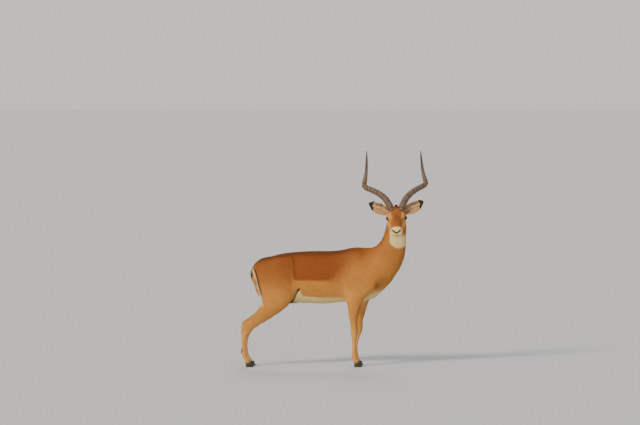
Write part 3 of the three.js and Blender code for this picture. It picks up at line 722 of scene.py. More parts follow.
def crease_shade(colour, x, z):
    """The dark line where the thigh lies against the belly, widest at its two ends: painted shade in the gap
    between them, over a black patch of the coat at its upper end.
    """
    top = bump_at(z, 0.547, 0.008)
    foot = bump_at(z, 0.458, 0.018)
    across = np.abs(x - along(THIGH_CREASE, z)) - 0.006 * top - 0.010 * foot
    dark = (1 - smoothstep(0.0050, 0.0088, across)) * between(z, 0.432, 0.442, 0.553, 0.566)
    return mix(colour, BLACK, dark * (0.85 + 0.10 * top))


def chest_shade(colour, x, z):
    """Painted shade: a darker patch at the point of the chest."""
    return mix(colour, BACK, 0.60 * spot(x - 0.399, z - 0.582, 0.020, 0.034))


def rump_colours(colour, q, n):
    """White behind a black stripe on each side, from the root of the tail to the back of the thigh."""
    x, y, z = q.T
    outward = n[:, 1] * np.sign(y)
    stripe = along(RUMP_STRIPE, z)
    behind = 1 - smoothstep(-0.005, 0.001, x - stripe + 0.006)
    behind = np.maximum(behind, smoothstep(0.15, -0.10, outward) * smoothstep(-0.34, -0.37, x))
    level = between(z, 0.500, 0.530, 0.682, 0.700) * smoothstep(0.10, 0.35, outward)
    return painted(
        colour,
        (WHITE, behind * between(z, 0.42, 0.46, 0.685, 0.705)),
        (BLACK, bump_at(x, stripe, 0.0062) * level),
    )


def neck_colours(q, n):
    """As the trunk at its foot, redder behind and pale at the throat."""
    x, _, z = q.T
    upper = mix(FAWN, RUFOUS, 0.22 + 0.33 * smoothstep(0.3, 1.0, -n[:, 0]))
    throat_foot = 0.842 + 8.0 * (x - 0.556) ** 2
    throat = smoothstep(-0.006, 0.008, z - throat_foot) * smoothstep(0.484, 0.496, x)
    throat = throat * smoothstep(-0.25, 0.20, -n[:, 1])
    throat = throat * (1 - smoothstep(0.920, 0.950, z - 0.9 * np.maximum(0.560 - x, 0)))
    colour = painted(
        trunk_colours(q, n),
        (upper, smoothstep(0.72, 0.98, z + 0.60 * (x - 0.36))),
        (WHITE, throat),
    )
    # then painted shade at the point of the chest
    return chest_shade(colour, x, z)


def leg_colours(q, n):
    """Fawn, redder at the haunch, paler inside and below, with a black tuft behind each hind pastern."""
    x, y, z = q.T
    hind = x < 0
    inner = smoothstep(0.25, 0.85, -n[:, 1] * np.sign(y)) * smoothstep(0.34, 0.46, z)
    shin = smoothstep(0.4, 0.9, n[:, 0])
    gland = hind * smoothstep(0.25, 0.75, -n[:, 0]) * (1 - smoothstep(0.7, 1.2, np.abs(z - 0.120) / 0.018))
    colour = painted(
        FAWN,
        (PALE_FAWN, 0.40 * bump_at(z, 0.46, 0.09)),
        (RUFOUS, 0.62 * smoothstep(0.50, 0.70, z) * hind),
        (SAND, 0.70 * smoothstep(0.40, 0.20, z)),
        (WHITE, 0.85 * inner * np.where(hind, 1.0, 0.25)),
        (RUFOUS, 0.30 * shin * smoothstep(0.16, 0.25, z)),
        (BLACK, 0.92 * gland),
        (BROWN, 0.70 * (1 - smoothstep(0.030, 0.050, z))),
    )
    # then painted shade in the thigh's crease
    return rump_colours(crease_shade(colour, x, z), q, n)


def head_colours(points, n):
    """A dark blaze and crown, pale brows, dark lines at the eyes, a white muzzle and chin with painted shade
    under the lower lip, and black lips.
    """
    s, w, v = in_head(points).T
    side = np.abs(w)
    up = n @ BROW
    top = smoothstep(-0.055, -0.030, v)
    nape = (1 - smoothstep(0.03, 0.09, s)) * (side < 0.05)
    crown = spot(s - 0.020, w, 0.020, 0.013)
    blaze = spot(side, s - 0.150, 0.021, 0.060) * smoothstep(0.2, 0.6, up)
    brow = bump_at(side, 0.057, 0.012) * between(s, 0.030, 0.048, 0.078, 0.092) * top
    line = bump_at(side, 0.0445 - 0.25 * (s - 0.10), 0.0045) * between(s, 0.070, 0.090, 0.128, 0.146) * top
    under_eye = spot(s - 0.112, v + 0.057, 0.020, 0.009) * (side > 0.02)
    temple = bump_at(v, -0.033 + 0.06 * (EYE_S - s), 0.0066) * smoothstep(0.014, 0.030, s) * (s < EYE_S)
    temple = temple * smoothstep(0.036, 0.046, side)
    tear = bump_at(v, -0.0425 - 0.30 * (s - 0.113), 0.0036) * between(s, 0.104, 0.110, 0.124, 0.138)
    lids = 1 - smoothstep(1.34, 1.52, eye_reach(points))
    muzzle_reach = s + 0.80 * np.maximum(-0.062 - v, 0) - 0.20 * np.maximum(side - 0.030, 0)
    muzzle = smoothstep(0.2420, 0.2510, muzzle_reach) * smoothstep(-0.130, -0.110, v)
    over_mouth = v - mouth_line(s, side)
    lower_lip = smoothstep(-0.001, -0.006, over_mouth) * smoothstep(0.176, 0.200, s)
    jaw = smoothstep(-0.3, -0.75, up) * smoothstep(0.05, 0.12, s) * smoothstep(-0.070, -0.085, v)
    # where painted shade lies on the chin, under the lower lip
    chin = bump_at(v, MOUTH_V - 0.0165, 0.0035) * smoothstep(0.225, 0.245, s)
    lips = (1 - smoothstep(0.0020, 0.0034, np.abs(over_mouth))) * smoothstep(0.195, 0.225, s)
    lips = lips * (1 - 0.5 * smoothstep(0.016, 0.030, side))
    return painted(
        mix(RUFOUS, FAWN, 0.30),
        (FAWN, smoothstep(0.028, 0.048, side)),
        (PALE_FAWN, 0.80 * smoothstep(-0.045, -0.085, v)),
        (BACK, 0.55 * blaze),
        (RUFOUS, 0.50 * nape),
        (BLACK, 0.85 * crown),
        (SAND, 0.85 * brow),
        (CREAM, 0.38 * line),
        (CREAM, 0.45 * under_eye),
        (BLACK, 0.85 * temple),
        (BLACK, 0.80 * tear * (side > 0.02)),
        (BLACK, 0.97 * lids),
        (WHITE, 0.95 * muzzle),
        (WHITE, 0.93 * lower_lip),
        (WHITE, 0.92 * jaw),
        # painted shade on the chin
        (BROWN, 0.22 * chin),
        (BLACK, nose_pad(s, side, v)),
        (BLACK, 0.92 * lips),
    )


class Ear:
    """One ear's axes: along from its root to its tip, and the way its cup faces."""

    def __init__(self, side):
        self.root = from_head(0.020, 0.050 if side == "left" else -0.050, -0.036)
        points = flesh_points[np.unique(flesh_faces[flesh_owner == FLESH.index(f"ear_{side}")])]
        tip = points[np.argmax(np.linalg.norm(points - self.root, axis=1))]
        self.length = np.linalg.norm(tip - self.root)
        self.along = (tip - self.root) / self.length
        self.cup = unit(np.array([0.0, -1.0, 0.0]) + self.along * self.along[1])
        self.across = np.cross(self.along, self.cup)

    def place(self, points):
        """The share of the length and the distance across."""
        d = points - self.root
        return d @ self.along / self.length, d @ self.across


EAR_PAIR = {side: Ear(side) for side in ("left", "right")}


def at_left_ear(points):
    return in_head(points)[:, 1] > 0


def ear_line(t, upper, start, end, width):
    """A dark line inside the ear, between two places given as a share of the length and a reach."""
    scale = np.array([1.0, 0.30])
    d = (np.stack([t, upper], 1) - start) * scale
    step = np.subtract(end, start) * scale
    share = np.clip(d @ step / (step @ step), 0, 1)
    return bump_at(np.hypot(*(d - share[:, None] * step).T), 0, width)


# Dark lines in the cup of the ear: their strength, start, end and width
EAR_LINES = [
    (1.00, (0.36, 0.12), (0.68, 0.50), 0.032),
    (1.00, (0.38, -0.80), (0.74, -0.42), 0.032),
    (0.55, (0.44, -0.30), (0.66, 0.02), 0.022),
    (0.80, (0.02, -0.75), (0.13, -0.45), 0.040),
]


def ear_colours(points, n):
    """Fawn outside with a dark edge and tip, and pale inside with dark lines."""
    left = at_left_ear(points)
    t, across = np.where(left, EAR_PAIR["left"].place(points), EAR_PAIR["right"].place(points))
    inner = np.where(left, n @ EAR_PAIR["left"].cup, n @ EAR_PAIR["right"].cup)
    half = 0.038 * np.sin(math.pi * np.clip(0.18 + 0.80 * t, 0, 1)) ** 0.7
    upper = np.where(left, 1, -1) * across / np.maximum(half, 0.006)  # grows towards the ear's upper edge
    lines = [strength * ear_line(t, upper, start, end, width) for strength, start, end, width in EAR_LINES]
    dark = np.max(lines + [spot(t - 0.40, upper + 0.78, 0.055, 0.20)], axis=0)
    inside = painted(
        CREAM,
        (PINK, 0.52 + 0.33 * smoothstep(0.40, 0.05, t)),
        (SAND, 0.70 * smoothstep(0.55, 0.95, upper)),
        (BROWN, 0.92 * dark),
    )
    rim = (1 - smoothstep(0.25, 0.60, np.abs(inner))) * smoothstep(-0.2, 0.5, upper)
    tip = smoothstep(0.755, 0.795, t + 0.13 * smoothstep(0.2, 0.9, upper))
    return painted(
        FAWN,
        (RUFOUS, 0.35 + 0.3 * smoothstep(0.3, 0.8, t)),
        (inside, smoothstep(-0.1, 0.35, inner)),
        (BLACK, 0.85 * rim * smoothstep(0.30, 0.50, t)),
        (BLACK, 0.97 * tip),
    )


def tail_colours(q, n):
    """Fawn with a dark line down its back, white in front and at its end."""
    z = q[:, 2]
    rear = smoothstep(0.25, 0.75, -n[:, 0]) * between(z, 0.560, 0.590, 0.66, 0.70)
    return painted(
        FAWN,
        (PALE_FAWN, 0.4 * smoothstep(0.64, 0.56, z)),
        (BLACK, 0.80 * rear),
        (WHITE, smoothstep(0.35, 0.8, n[:, 0])),
        (WHITE, 1 - smoothstep(0.515, 0.550, z)),
    )


def markings(points, n, weights):
    """The coat's colour at each point, from where it is, the way it faces and its share in each region."""
    q = in_body(points)
    legs = leg_colours(q, n)
    parts = {
        "trunk": trunk_colours(q, n),
        "neck": neck_colours(q, n),
        "head": head_colours(points, n),
        "ear": ear_colours(points, n),
        "tail": tail_colours(q, n),
        "thigh": legs,
        "shank": legs,
    }
    return by_region(parts, weights) / weights.sum(1)[:, None]


# ---- An unwrap of the skin

LIMBS = ["trunk", "neck", "head", "ear_left", "ear_right", "tail"]
LIMBS += [f"{limb}leg_{side}" for limb in ("fore", "hind") for side in ("left", "right")]
MAP_NAME = "OFBake"
CHART_GAP = 0.012  # metres between charts
MAP_SLACK = 1.12  # how much wider the map is than a square of the charts' area


def limb_of(node):
    return next(k for k, limb in enumerate(LIMBS) if node.startswith(limb))


def faces_on(limbs):
    """Which faces of the skin lie on the given limbs."""
    return np.isin(skin_limbs, [LIMBS.index(limb) for limb in limbs])


def unwrapped(points, triangles, limbs):
    """A flat place for each triangle's corners, in a chart for each limb and each of the six ways to face."""
    corners = points[triangles]
    facing = np.cross(corners[:, 1] - corners[:, 0], corners[:, 2] - corners[:, 0])
    axis = np.abs(facing).argmax(1)
    forward = facing[np.arange(len(facing)), axis] > 0
    chart = limbs * 6 + axis * 2 + forward
    flat = np.zeros((len(triangles), 3, 2))
    boxes = []
    for key in np.unique(chart):
        chosen = chart == key
        kept_axes = [a for a in range(3) if a != (key % 6) // 2]
        laid = corners[chosen][:, :, kept_axes]
        low = laid.reshape(-1, 2).min(0)
        flat[chosen] = laid - low
        boxes.append((key, *(laid.reshape(-1, 2).max(0) - low)))
    boxes.sort(key=lambda box: -box[2])
    side = MAP_SLACK * math.sqrt(sum((w + CHART_GAP) * (h + CHART_GAP) for _, w, h in boxes))
    x = 0.0
    y = 0.0
    row = 0.0
    for key, width, height in boxes:
        if x + width > side:
            x = 0.0
            y = y + row + CHART_GAP
            row = 0.0
        flat[chart == key] += (x, y)
        x += width + CHART_GAP
        row = max(row, height)
    return flat / max(side, y + row)


skin_nodes = nearest_flesh(skin.middles(skin.points))[2]
skin_limbs = np.array([limb_of(n) for n in FLESH])[skin_nodes]
skin_map = unwrapped(skin.points, skin.faces, skin_limbs)


def give_map(thing, corners):
    """Puts a flat place for each face corner in the piece's map."""
    layer = thing.data.uv_layers.new(name=MAP_NAME)
    layer.data.foreach_set("uv", np.ascontiguousarray(corners, np.float32).ravel())


# ---- The lie of the coat

def lie_of_coat():
    """The way the hair points at each vertex of the skin, along the surface."""
    x, _, z = in_body(skin.points).T
    s, w, v = in_head(skin.points).T
    left = np.sign(w)[:, None] * LEFT
    back = mix(leaning(1.0, 0.25), leaning(0.8, 0.6), smoothstep(0.70, 0.50, z))
    crown = -NOSE + 0.35 * smoothstep(0.01, 0.05, np.abs(w))[:, None] * left
    crown = crown - 0.25 * smoothstep(-0.03, -0.08, v)[:, None] * BROW
    muzzle = 0.5 * left + np.clip((v + 0.050) / 0.014, -1, 1)[:, None] * BROW - 0.3 * NOSE
    parts = {
        "trunk": mix(back, leaning(0.35, 1.0), smoothstep(-0.30, -0.44, x)),
        "neck": mix(leaning(0.55, 0.85), leaning(0.1, 1.0), smoothstep(0.72, 0.90, z)),
        "head": mix(crown, muzzle, muzzle_front(s, v)),
        "ear": np.where(at_left_ear(skin.points)[:, None], EAR_PAIR["left"].along, EAR_PAIR["right"].along),
        "tail": leaning(-0.30, 1.0),
        "thigh": leaning(0.30, 1.0),
        "shank": leaning(0.10, 1.0),
    }
    lie = by_region({name: unit(part) for name, part in parts.items()}, skin_weights)
    for _ in range(4):
        lie = skin.spread(unit(flattened(lie, skin_normals)), 3)
    return unit(flattened(lie, skin_normals))


skin_lie = lie_of_coat()


# ---- Tufts

class Roots:
    """Places drawn at random on the skin's triangles, with what the skin holds there."""

    def __init__(self, faces, count, weight=1.0):
        p = skin.points[skin.faces[faces]]
        area = 0.5 * np.linalg.norm(np.cross(p[:, 1] - p[:, 0], p[:, 2] - p[:, 0]), axis=1) * weight
        pick = np.searchsorted(np.cumsum(area) / area.sum(), RANDOM.random(count))
        self.faces = faces[np.minimum(pick, len(faces) - 1)]
        a, b = RANDOM.random((2, count))
        fold = a + b > 1
        a[fold] = 1 - a[fold]
        b[fold] = 1 - b[fold]
        self.shares = np.stack([1 - a - b, a, b], 1)
        self.points = self.blend(skin.points)
        self.normals = unit(self.blend(skin_normals))
        self.lie = unit(flattened(self.blend(skin_lie), self.normals))
        self.weights = self.blend(skin_weights)
        self.coat = self.blend(skin_coat)
        self.map = (skin_map[self.faces] * self.shares[:, :, None]).sum(1)

    def blend(self, values):
        return (values[skin.faces[self.faces]] * self.shares[:, :, None]).sum(1)

    def keep(self, chosen):
        for name, value in vars(self).items():
            setattr(self, name, value[chosen])

    def turned(self, lie, spread):
        """The direction lie, swung to either side by a random amount."""
        swing = RANDOM.normal(0.0, spread, len(self.points))[:, None]
        return unit(lie + swing * np.cross(self.normals, lie))


# A blade has two corners at its root, two in its middle and one at its tip
BLADE = np.array([(0, 3, 1), (0, 2, 3), (2, 4, 3)])
PATCH = np.array([(-0.5, -0.5), (0.5, -0.5), (-0.4, 0.1), (0.4, 0.1), (0.0, 0.5)]) * 0.003  # on the map
# Painted shade and light along each blade: darker at its root, where the hair over it shades it, and lighter
# at its tip
SHADE = np.array([0.90, 0.90, 0.98, 0.98, 1.05])  # from root to tip
ROOT_DEPTH = 0.0006
ROLL = 0.25  # how far a blade turns about its own line, in radians
BOW = 0.55  # how far a blade's middle is lifted, as a share of its tip's lift


def blades(roots, length, width, lift, lie, hug=True):
    """The corners of one thin blade for each root, straight or held along the surface."""
    n = roots.normals
    roll = RANDOM.normal(0.0, ROLL, len(n))[:, None]
    across = np.cross(n, lie)
    across = unit(across * np.cos(roll) + n * np.sin(roll))
    half = 0.5 * width[:, None] * across
    foot = roots.points - ROOT_DEPTH * n
    centre = roots.points + 0.5 * length[:, None] * lie
    tip = roots.points + length[:, None] * lie
    if hug:
        base = SURFACE.at(roots.points)
        centre = held(centre, base + BOW * lift)
        tip = held(tip, base + lift)
    else:
        centre = centre + (BOW * lift)[:, None] * n
        tip = tip + lift[:, None] * n
    return np.stack([foot - half, foot + half, centre - 0.8 * half, centre + 0.8 * half, tip], 1)


def held(points, height):
    """The points moved to a height over the flesh's own field, where that field is smooth."""
    for _ in range(2):
        slope = SURFACE.slope(points)
        size = (slope ** 2).sum(1)
        move = np.clip((SURFACE.at(points) - height) / np.maximum(size, 0.5), -0.006, 0.006)
        points = points - (move * (size > 0.35))[:, None] * slope
    return points


def tuft_piece(name, roots, corners, tint=0.055, lit=0.80):
    """Joins blades in one piece, coloured by markings() at their roots, with painted shade at each root and
    painted light at each tip. lit makes them shade like skin.
    """
    count = len(corners)
    faces = (np.arange(count)[:, None, None] * 5 + BLADE).reshape(-1, 3)
    made = mesh_object(name, corners.reshape(-1, 3), faces)
    colours = markings(roots.points, roots.normals, roots.weights)
    each = 1 + tint * RANDOM.standard_normal(count).clip(-2, 2)
    # painted shade at the roots and painted light at the tips
    colours = colours[:, None, :] * SHADE[None, :, None] * each[:, None, None]
    paint(made, colours.reshape(-1, 3).clip(0, 1))
    give_map(made, (roots.map[:, None, :] + PATCH)[:, BLADE].reshape(-1, 2))
    flat = unit(np.cross(corners[:, 1] - corners[:, 0], corners[:, 4] - corners[:, 0]))
    flat *= np.sign((flat * roots.normals).sum(1))[:, None]
    normals = unit(mix(flat, roots.normals, lit))
    made.data.normals_split_custom_set_from_vertices(np.repeat(normals, 5, axis=0))
    made.data.materials.append(HAIR)


# ---- Materials

def material(name, **inputs):
    """A new Principled material with constants on its own sockets, with its node tree and shader."""
    made = bpy.data.materials.new(name)
    made.use_nodes = True
    tree = made.node_tree
    shader = tree.nodes["Principled BSDF"]
    for label, value in inputs.items():
        shader.inputs[label.replace("_", " ")].default_value = value
    return made, tree, shader


def node(tree, kind, **settings):
    """A new node with its properties and its sockets' constants set by name."""
    made = tree.nodes.new(kind)
    for key, value in settings.items():
        if hasattr(made, key):
            setattr(made, key, value)
        else:
            made.inputs[key.replace("_", " ")].default_value = value
    return made


def noise(tree, scale, detail=3.0, roughness=0.55, stretch=None):
    """Noise in object coordinates, in turns per metre, stretched by a scale on each axis if one is given."""
    place = node(tree, "ShaderNodeTexCoord").outputs["Object"]
    if stretch:
        mapping = node(tree, "ShaderNodeMapping", Scale=stretch)
        tree.links.new(place, mapping.inputs["Vector"])
        place = mapping.outputs["Vector"]
    made = node(tree, "ShaderNodeTexNoise", Scale=scale, Detail=detail, Roughness=roughness)
    tree.links.new(place, made.inputs["Vector"])
    return made.outputs["Fac"]


def bump(tree, shader, height, strength, distance):
    """Gives the shader a bump of a distance in metres."""
    made = node(tree, "ShaderNodeBump", Strength=strength, Distance=distance)
    tree.links.new(height, made.inputs["Height"])
    tree.links.new(made.outputs["Normal"], shader.inputs["Normal"])


def ramp(tree, value, low, low_colour, high, high_colour):
    """A colour that runs from one to another as the value goes from low to high."""
    made = node(tree, "ShaderNodeValToRGB")
    for stop, place, colour in ((0, low, low_colour), (1, high, high_colour)):
        made.color_ramp.elements[stop].position = place
        made.color_ramp.elements[stop].color = (*colour, 1)
    tree.links.new(value, made.inputs["Fac"])
    return made.outputs["Color"]


def shaded(tree, colour, factor, low, high):
    """The colour times a factor of 0 to 1 that is first brought to a range."""
    ranged = node(tree, "ShaderNodeMapRange", To_Min=low, To_Max=high)
    tree.links.new(factor, ranged.inputs["Value"])
    made = node(tree, "ShaderNodeVectorMath", operation="SCALE")
    tree.links.new(colour, made.inputs["Vector"])
    tree.links.new(ranged.outputs["Result"], made.inputs["Scale"])
    return made.outputs["Vector"]


MARKINGS = "markings"  # the colour attribute that paint() fills


def marked_colour(tree, shader, *patterns):
    """The piece's painted colour, shaded by patterns of noise, each with the range that it is brought to."""
    colour = node(tree, "ShaderNodeAttribute", attribute_name=MARKINGS).outputs["Color"]
    for pattern, low, high in patterns:
        colour = shaded(tree, colour, pattern, low, high)
    tree.links.new(colour, shader.inputs["Base Color"])


def coat_material(name, fine, strength):
    """Short fur, with hairs as noise of the given fineness drawn out along the body, and a bump of them."""
    made, tree, shader = material(name, Roughness=0.72, Specular_IOR_Level=0.25)
    patches = noise(tree, 38, 4)
    hairs = noise(tree, fine, 2, 0.7, (0.35, 1, 1))
    marked_colour(tree, shader, (patches, 0.86, 1.12), (hairs, 0.86, 1.14))
    bump(tree, shader, noise(tree, fine, 3, 0.7, (0.3, 1, 1)), strength, 0.002)
    return made


def horn_material():
    made, tree, shader = material("horn", Roughness=0.50, Specular_IOR_Level=0.35)
    streaks = noise(tree, 260, 4, 0.6, (1, 1, 0.12))
    blotches = noise(tree, 55, 3)
    marked_colour(tree, shader, (streaks, 0.72, 1.25), (blotches, 0.80, 1.18))
    bump(tree, shader, noise(tree, 420, 4, 0.6, (1, 1, 0.2)), 0.5, 0.0012)
    return made


def eye_material():
    made, tree, shader = material(
        "eye", Roughness=0.10, IOR=1.36, Specular_IOR_Level=0.16, Coat_Weight=0.12, Coat_Roughness=0.03
    )
    marked_colour(tree, shader, (noise(tree, 900, 3), 0.7, 1.3))
    return made


def hoof_material():
    made, tree, shader = material("hoof", Roughness=0.45, Specular_IOR_Level=0.4)
    streaks = noise(tree, 90, 5, 0.6, (1, 1, 0.25))
    colour = ramp(tree, streaks, 0.3, (0.012, 0.009, 0.008), 0.75, (0.060, 0.045, 0.035))
    tree.links.new(colour, shader.inputs["Base Color"])
    bump(tree, shader, noise(tree, 300, 3, 0.6, (1, 1, 3.0)), 0.35, 0.001)
    return made


HAIR = coat_material("hair", 900, 0.1)
HORN_FINISH = horn_material()
EYE_FINISH = eye_material()
HOOF_FINISH = hoof_material()


def paint(thing, colours):
    """Fills the piece's painted colour from one colour for each vertex."""
    layer = thing.data.color_attributes.new(MARKINGS, "FLOAT_COLOR", "POINT")
    opaque = np.column_stack([colours, np.ones(len(colours))])
    layer.data.foreach_set("color", opaque.astype(np.float32).ravel())


# ---- Camera, floor and light

CAMERA_DISTANCE = 30.0
CAMERA_HEIGHT = 2.4
CAMERA_DROP = 2.52  # degrees below level
CAMERA_LENS = 241.07
FLOOR_RADIUS = 90.0
FLOOR_COLOUR = (0.64, 0.66, 0.68, 1)
HORIZON = (0.80, 0.78, 0.74)
OVERHEAD = (0.44, 0.46, 0.50)
# Each lamp's direction, width in degrees, strength and colour
LAMPS = [
    ("key", (-4.0, -4.6, 3.6), 14.0, 3.0, (1.0, 0.86, 0.66)),
    ("fill", (4.2, -4.0, 2.0), 30.0, 0.20, (0.90, 0.95, 1.0)),
    ("back", (0.5, 5.0, 3.6), 20.0, 0.6, (1.0, 0.97, 0.92)),
]


def make_camera():
    camera_data = bpy.data.cameras.new("camera")
    camera_data.sensor_width = 36.0
    camera_data.lens = CAMERA_LENS
    camera_data.clip_end = 200.0
    camera = bpy.data.objects.new("camera", camera_data)
    camera.location = (STAND[0], STAND[1] - CAMERA_DISTANCE, CAMERA_HEIGHT)
    camera.rotation_euler = (math.radians(90.0 - CAMERA_DROP), 0.0, 0.0)
    bpy.context.scene.collection.objects.link(camera)
    bpy.context.scene.camera = camera


def make_floor():
    bpy.ops.mesh.primitive_circle_add(vertices=96, radius=FLOOR_RADIUS, fill_type="NGON")
    floor = bpy.context.object
    floor.name = "floor"
    finish, _, _ = material("floor", Roughness=0.85, Specular_IOR_Level=0.2, Base_Color=FLOOR_COLOUR)
    floor.data.materials.append(finish)


def make_sky():
    """A pale backdrop all round that meets the floor's tone at the horizon and is darker overhead."""
    world = bpy.data.worlds.new("studio")
    bpy.context.scene.world = world
    world.use_nodes = True
    tree = world.node_tree
    sky = tree.nodes["Background"]
    height = node(tree, "ShaderNodeSeparateXYZ")
    tree.links.new(node(tree, "ShaderNodeTexCoord").outputs["Generated"], height.inputs["Vector"])
    tree.links.new(ramp(tree, height.outputs["Z"], 0.02, HORIZON, 0.55, OVERHEAD), sky.inputs["Color"])
    sky.inputs["Strength"].default_value = 1.0


def make_lamps():
    for name, place, width, strength, colour in LAMPS:
        lamp = bpy.data.lights.new(name, "SUN")
        lamp.angle = math.radians(width)
        lamp.energy = strength
        lamp.color = colour
        thing = bpy.data.objects.new(name, lamp)
        thing.location = place
        thing.rotation_euler = Vector(place).to_track_quat("Z", "Y").to_euler()
        bpy.context.scene.collection.objects.link(thing)


# ---- The skin and its coat

def make_skin_piece():
    """The one closed skin that stands for every node of flesh."""
    piece = mesh_object("skin", skin.points, skin.faces)
    paint(piece, markings(skin.points, skin_normals, skin_weights))
    give_map(piece, skin_map.reshape(-1, 2))
    piece.data.materials.append(coat_material("skin_coat", 420, 0.35))
    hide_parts(*FLESH)


# Each piece of the coat: the limbs it grows on, its side (1 left, -1 right, 0 both) and how many tufts it has
COAT_PIECES = {
    "coat_trunk_right": (["trunk"], -1, 62000),
    "coat_trunk_left": (["trunk"], 1, 62000),
    "coat_neck": (["neck"], 0, 56000),
    "coat_head": (["head"], 0, 62000),
    "coat_foreleg_left": (["foreleg_left"], 0, 40000),
    "coat_foreleg_right": (["foreleg_right"], 0, 40000),
    "coat_hindleg_left": (["hindleg_left"], 0, 52000),
    "coat_hindleg_right": (["hindleg_right"], 0, 52000),
    "coat_tail": (["tail"], 0, 12000),
    "coat_ears": (["ear_left", "ear_right"], 0, 24000),
}


def make_coat():
    """The short hair, one piece at a time."""
    middle_y = in_body(skin.middles(skin.points))[:, 1]
    for name, (limbs, side, count) in COAT_PIECES.items():
        chosen = faces_on(limbs)
        if side:
            chosen &= middle_y * side > 0
        roots = Roots(np.flatnonzero(chosen), count)
        roots.keep(clear_of_bare_skin(roots.points))
        fine = fineness(roots.points)
        depth, length, width = roots.coat.T
        length = length * RANDOM.uniform(0.7, 1.25, len(fine)) * fine
        width = width * RANDOM.uniform(0.75, 1.25, len(fine)) * np.sqrt(fine)
        lift = depth * RANDOM.uniform(0.35, 1.0, len(fine))
        lie = roots.turned(roots.lie, 0.14)
        tuft_piece(name, roots, blades(roots, length, width, lift, lie, limbs != ["tail"]))


def fineness(points):
    """How much shorter the hair is than in its region at large: least at the eyes, nose and feet."""
    s, w, v = in_head(points).T
    near_eye = np.minimum(*(np.linalg.norm(points - eye.middle, axis=1) for eye in EYE_PAIR.values()))
    size = 1 - 0.50 * smoothstep(0.19, 0.25, s) * on_head(s, w, v)
    size = size * (1 - 0.40 * (1 - smoothstep(0.022, 0.040, near_eye)))
    return size * (0.75 + 0.25 * smoothstep(0.06, 0.14, in_body(points)[:, 2]))


def clear_of_bare_skin(points):
    """Where hair grows: not on the bare nose, the lips' edges, the eyes or the margins of their lids."""
    s, w, v = in_head(points).T
    side = np.abs(w)
    distance, t = nostril_distance(side, v)
    nose = (distance + 0.0010 * t < 0.0072) & (s > 0.238)
    lips = (np.abs(v - mouth_line(s, side)) < 0.0022) & (s > 0.205)
    return (eye_reach(points) > 1.30) & ~((nose | lips) & on_head(s, w, v))


# ---- Longer hair

def long_hair(name, limbs, count, grows, size, lie, slot="coat", lit=0.6, stray=0.16):
    """Longer tufts where grows gives a high weight. lie is a direction, or a function of places."""
    faces = np.flatnonzero(faces_on(limbs))
    centres = skin.points[skin.faces[faces]].mean(1)
    weight = grows(centres, unit(skin_normals[skin.faces[faces]].mean(1)))
    chosen = weight > 0.03
    roots = Roots(faces[chosen], count, weight[chosen])
    share = np.interp(grows(roots.points, roots.normals), [0, 1], [0.55, 1.0])
    share = share * RANDOM.uniform(0.7, 1.15, count)
    lean = lie(roots.points) if callable(lie) else lie
    lean = unit(flattened(lean, roots.normals, 0.85))
    length, width, lift = size
    lean = roots.turned(lean, stray)
    shape = blades(roots, length * share, np.full(count, width), lift * share, lean, hug=False)
    tuft_piece(name, roots, shape, tint=0.08, lit=lit)


def at_tail_end(points, n):
    return smoothstep(0.600, 0.535, in_body(points)[:, 2])


def at_sheath(points, n):
    x, y, z = in_body(points).T
    return spot(x - SHEATH_X, y, 0.020, 0.020) * (z < SHEATH_TOP)


def at_fetlock(points, n):
    return smoothstep(0.2, 0.8, -n[:, 0]) * bump_at(in_body(points)[:, 2], 0.122, 0.014)


def at_coronet(points, n):
    return 1 - smoothstep(0.040, 0.054, in_body(points)[:, 2])


def at_crown(points, n):
    s, w, _ = in_head(points).T
    return spot(s - 0.018, w, 0.020, 0.014)


LEGS = [limb for limb in LIMBS if "leg_" in limb]
HIND_LEGS = [limb for limb in LEGS if limb.startswith("hind")]
# Of each piece of longer hair: its limbs, how many tufts, where they grow, their length, width and lift,
# the way they lean, and what else sets it apart
LONG_HAIR = {
    "tail_tuft": (
        ["tail"], 8000, at_tail_end, (0.038, 0.0012, 0.002), leaning(-0.14, 1.0), {"lit": 0.85, "stray": 0.07}
    ),
    "sheath_tuft": (["trunk"], 900, at_sheath, (0.040, 0.0020, 0.008), leaning(0.85, 0.55), {}),
    "fetlock_tufts": (HIND_LEGS, 2400, at_fetlock, (0.014, 0.0011, 0.003), leaning(0.45, 1.0), {}),
    "coronet_fringe": (LEGS, 6000, at_coronet, (0.011, 0.0012, 0.001), leaning(-0.25, 1.0), {}),
    "crown_tuft": (["head"], 900, at_crown, (0.017, 0.0014, 0.008), 0.85 * BROW - 0.55 * NOSE, {}),
}


def make_ear_hair(side, ear):
    """Pale hair that lies over the cup of the ear from its two edges."""
    def grows(points, n):
        t, across = ear.place(points)
        edge = smoothstep(0.006, 0.022, np.abs(across)) * between(t, 0.04, 0.12, 0.66, 0.80)
        return edge * smoothstep(0.1, 0.5, n @ ear.cup)

    def lie(points):
        across = ear.place(points)[1]
        inward = np.sign(across) * smoothstep(0.0, 0.02, np.abs(across))
        return 0.9 * ear.along - 0.75 * np.outer(inward, ear.across)

    long_hair(f"ear_hair_{side}", [f"ear_{side}"], 2600, grows, (0.014, 0.0009, 0.004), lie, "ear", lit=0.7)


# ---- Horns

HORN_START = np.array([14.0, 10.0, 34.0])  # outward, backward and up, at the root
HORN_FRONT = np.array([0.0, -0.75, 0.65])
HORN_RING = 7  # corners of each ring of the CAD horn
HORN_STEPS = 430
HORN_SIDES = 30
HORN_RIDGED = 0.70  # share of the length with ridges
HORN_CORE = 0.955  # radius between the ridges, as a share of the CAD horn's
RIDGE_PITCH = (0.0165, 0.0240)  # from one ridge to the next, at the root and at the last
RIDGE_HEIGHT = 0.0037
FLUTE_HEIGHT = 0.00022

HORN_BROWN = srgb(122, 98, 78)
HORN_GROOVE = srgb(88, 68, 56)
HORN_CREST = srgb(142, 120, 102)
HORN_TIP = srgb(92, 76, 66)


